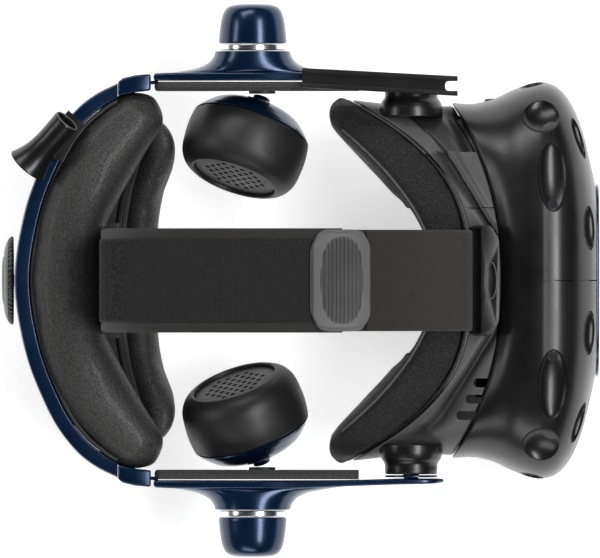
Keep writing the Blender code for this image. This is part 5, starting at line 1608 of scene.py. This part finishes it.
def build_earcup(side):
    name = SIDE_NAMES[side]
    facing = cup_direction(side)
    back = np.array([CUP_CENTRE[0], side * CUP_CENTRE[1], CUP_CENTRE[2]]) - facing * (CUP_DEPTH / 2)
    outer = smooth_curve(CUP_BACK_OUTSIDE, 0.9)
    profile = [*CUP_STUD] + [tuple(p) for p in outer]
    profile += CUP_BACK_INSIDE
    piece(f"earcup_back_{name}", turned(profile, back, facing, CUP_STEPS), "blue", f"earcup_{name}",
          "dark_blue_plastic", f"earcup_cap_{name}")
    curve = smooth_curve(DRUM_OUTSIDE, 0.9)
    profile = [(28.6, 13.4), (29.2, 13.6)] + [tuple(p) for p in curve]
    profile += DRUM_INSIDE
    drum = mesh_object(f"earcup_ring_{name}", turned(profile, back, facing, CUP_STEPS, closed=True),
                       "drum")
    across, up, forward = axis_frame(facing)
    outward = -up * 0.8 + np.array([-0.6, 0.0, 0.0])
    outward = outward / np.linalg.norm(outward)
    outward = outward - forward * outward.dot(forward)
    outward = outward / np.linalg.norm(outward)
    sideways = np.cross(forward, outward)
    length = 9.35 if side == LEFT else 4.35
    corners = rounded(box_outline(0.0, 0.0, length, 3.35), 0.8)
    window = [[back + forward * (22.0 + b) + sideways * a + outward * level for a, b in corners]
              for level in (24.0, 34.0)]
    cut(drum, [loft(window)], sharp=40.0)
    place(drum, f"earcup_{name}", "textured_black_plastic", f"earcup_drum_{name}")
    disc = rounded(GRILLE_SECTION, 0.25, 3, closed=False)
    grille = mesh_object(f"earcup_perforated_{name}", turned(disc, back, facing, 96), "drum")
    pegs = []
    for row in range(-3, 4):
        count = 7 - abs(row)
        for column in range(count):
            a = (column - (count - 1) / 2) * HOLE_PITCH
            b = row * HOLE_PITCH * math.sqrt(3) / 2
            centre = back + across * a + up * b
            pegs.append(turned([(HOLE_RADIUS, 34.0), (HOLE_RADIUS, 41.0)], centre, facing, 20))
    cut(grille, pegs)
    place(grille, f"earcup_{name}", "textured_black_plastic", f"earcup_grille_{name}")
    refined(f"earcup_hanger_{name}", f"hanger_plate_{name}", "dark", "black_plastic", 0.4)


def build_earcup_buttons():
    refined("volume_rocker", "volume_rocker_key", "dark", "black_plastic", 0.45)
    refined("microphone_button", "microphone_key", "dark", "black_plastic", 0.45)


# ---------------------------------------------------------------- parts kept from the CAD model


def dress_cad_nodes():
    """Better finish for the inner parts whose CAD shape is right."""
    finish = {
        "optics_bezel": "dark", "main_board": "board", "display_panel_left": "glass",
        "display_panel_right": "glass",
        "speaker_driver_left": "board", "speaker_driver_right": "board", "dial_pinion": "dark",
        "adjustment_rack_left": "dark", "adjustment_rack_right": "dark",
    }
    for node, key in finish.items():
        obj = frame["nodes"][node]
        obj.data.materials.clear()
        obj.data.materials.append(MATERIALS[key])


# ---------------------------------------------------------------- floor, light and camera


def build_floor():
    corners = [(x, y, FLOOR_Z) for x, y in box_outline(0.0, 0.0, FLOOR_SIZE, FLOOR_SIZE)]
    floor = mesh_object("floor", (corners, [[0, 1, 2, 3]]), "floor")
    if floor.data.polygons[0].normal.z < 0:
        floor.data.flip_normals()


def add_light(name, tilt, heading, distance, size, power):
    """Area light at a tilt from overhead and a heading from +X, both in degrees, aimed at the headset."""
    light = bpy.data.lights.new(name, "AREA")
    light.shape = "RECTANGLE"
    light.size = size[0]
    light.size_y = size[1]
    light.energy = power
    obj = add_object(name, light)
    tilt = math.radians(tilt)
    heading = math.radians(heading)
    way = Vector((math.sin(tilt) * math.cos(heading), math.sin(tilt) * math.sin(heading), math.cos(tilt)))
    obj.location = way * distance + Vector((0.0, 0.0, 0.08))
    across = Vector((-math.sin(heading), math.cos(heading), 0.0))
    up = way.cross(across)
    obj.matrix_world = Matrix.Translation(obj.location) @ Matrix((up, across, way)).transposed().to_4x4()


def build_light_and_camera():
    world = bpy.data.worlds.new("studio")
    bpy.context.scene.world = world
    world.use_nodes = True
    background = world.node_tree.nodes["Background"]
    background.inputs["Color"].default_value = (1.0, 1.0, 1.0, 1.0)
    background.inputs["Strength"].default_value = WORLD_GLOW
    for settings in LIGHTS:
        add_light(*settings)
    data = bpy.data.cameras.new("camera")
    data.sensor_width = SENSOR_WIDTH
    data.lens = SENSOR_WIDTH * (VIEW_DISTANCE - VIEW_PLANE) / VIEW_WIDTH
    data.clip_end = 60.0
    camera = add_object("camera", data)
    camera.location = (0.0, VIEW_CENTRE_Y, VIEW_DISTANCE)
    bpy.context.scene.camera = camera
    bpy.context.scene.view_settings.view_transform = "Standard"


def main():
    build_visor_shell()
    build_sensor_windows()
    build_front_plate()
    build_visor_controls()
    build_carriage()
    build_face_cushion()
    build_gasket_frame()
    build_nose_gasket()
    build_strap_bracket()
    build_cable_channel()
    build_rear_band()
    build_rear_cushions()
    build_rear_hardware()
    build_dial()
    build_cable_clip()
    build_strap()
    for side in (LEFT, RIGHT):
        build_optics(side)
        build_tilt_hub(side)
        build_arm(side)
        build_arm_pad(side)
        build_hub_trim(side)
        build_earcup(side)
    build_earcup_buttons()
    dress_cad_nodes()
    build_floor()
    build_light_and_camera()


main()
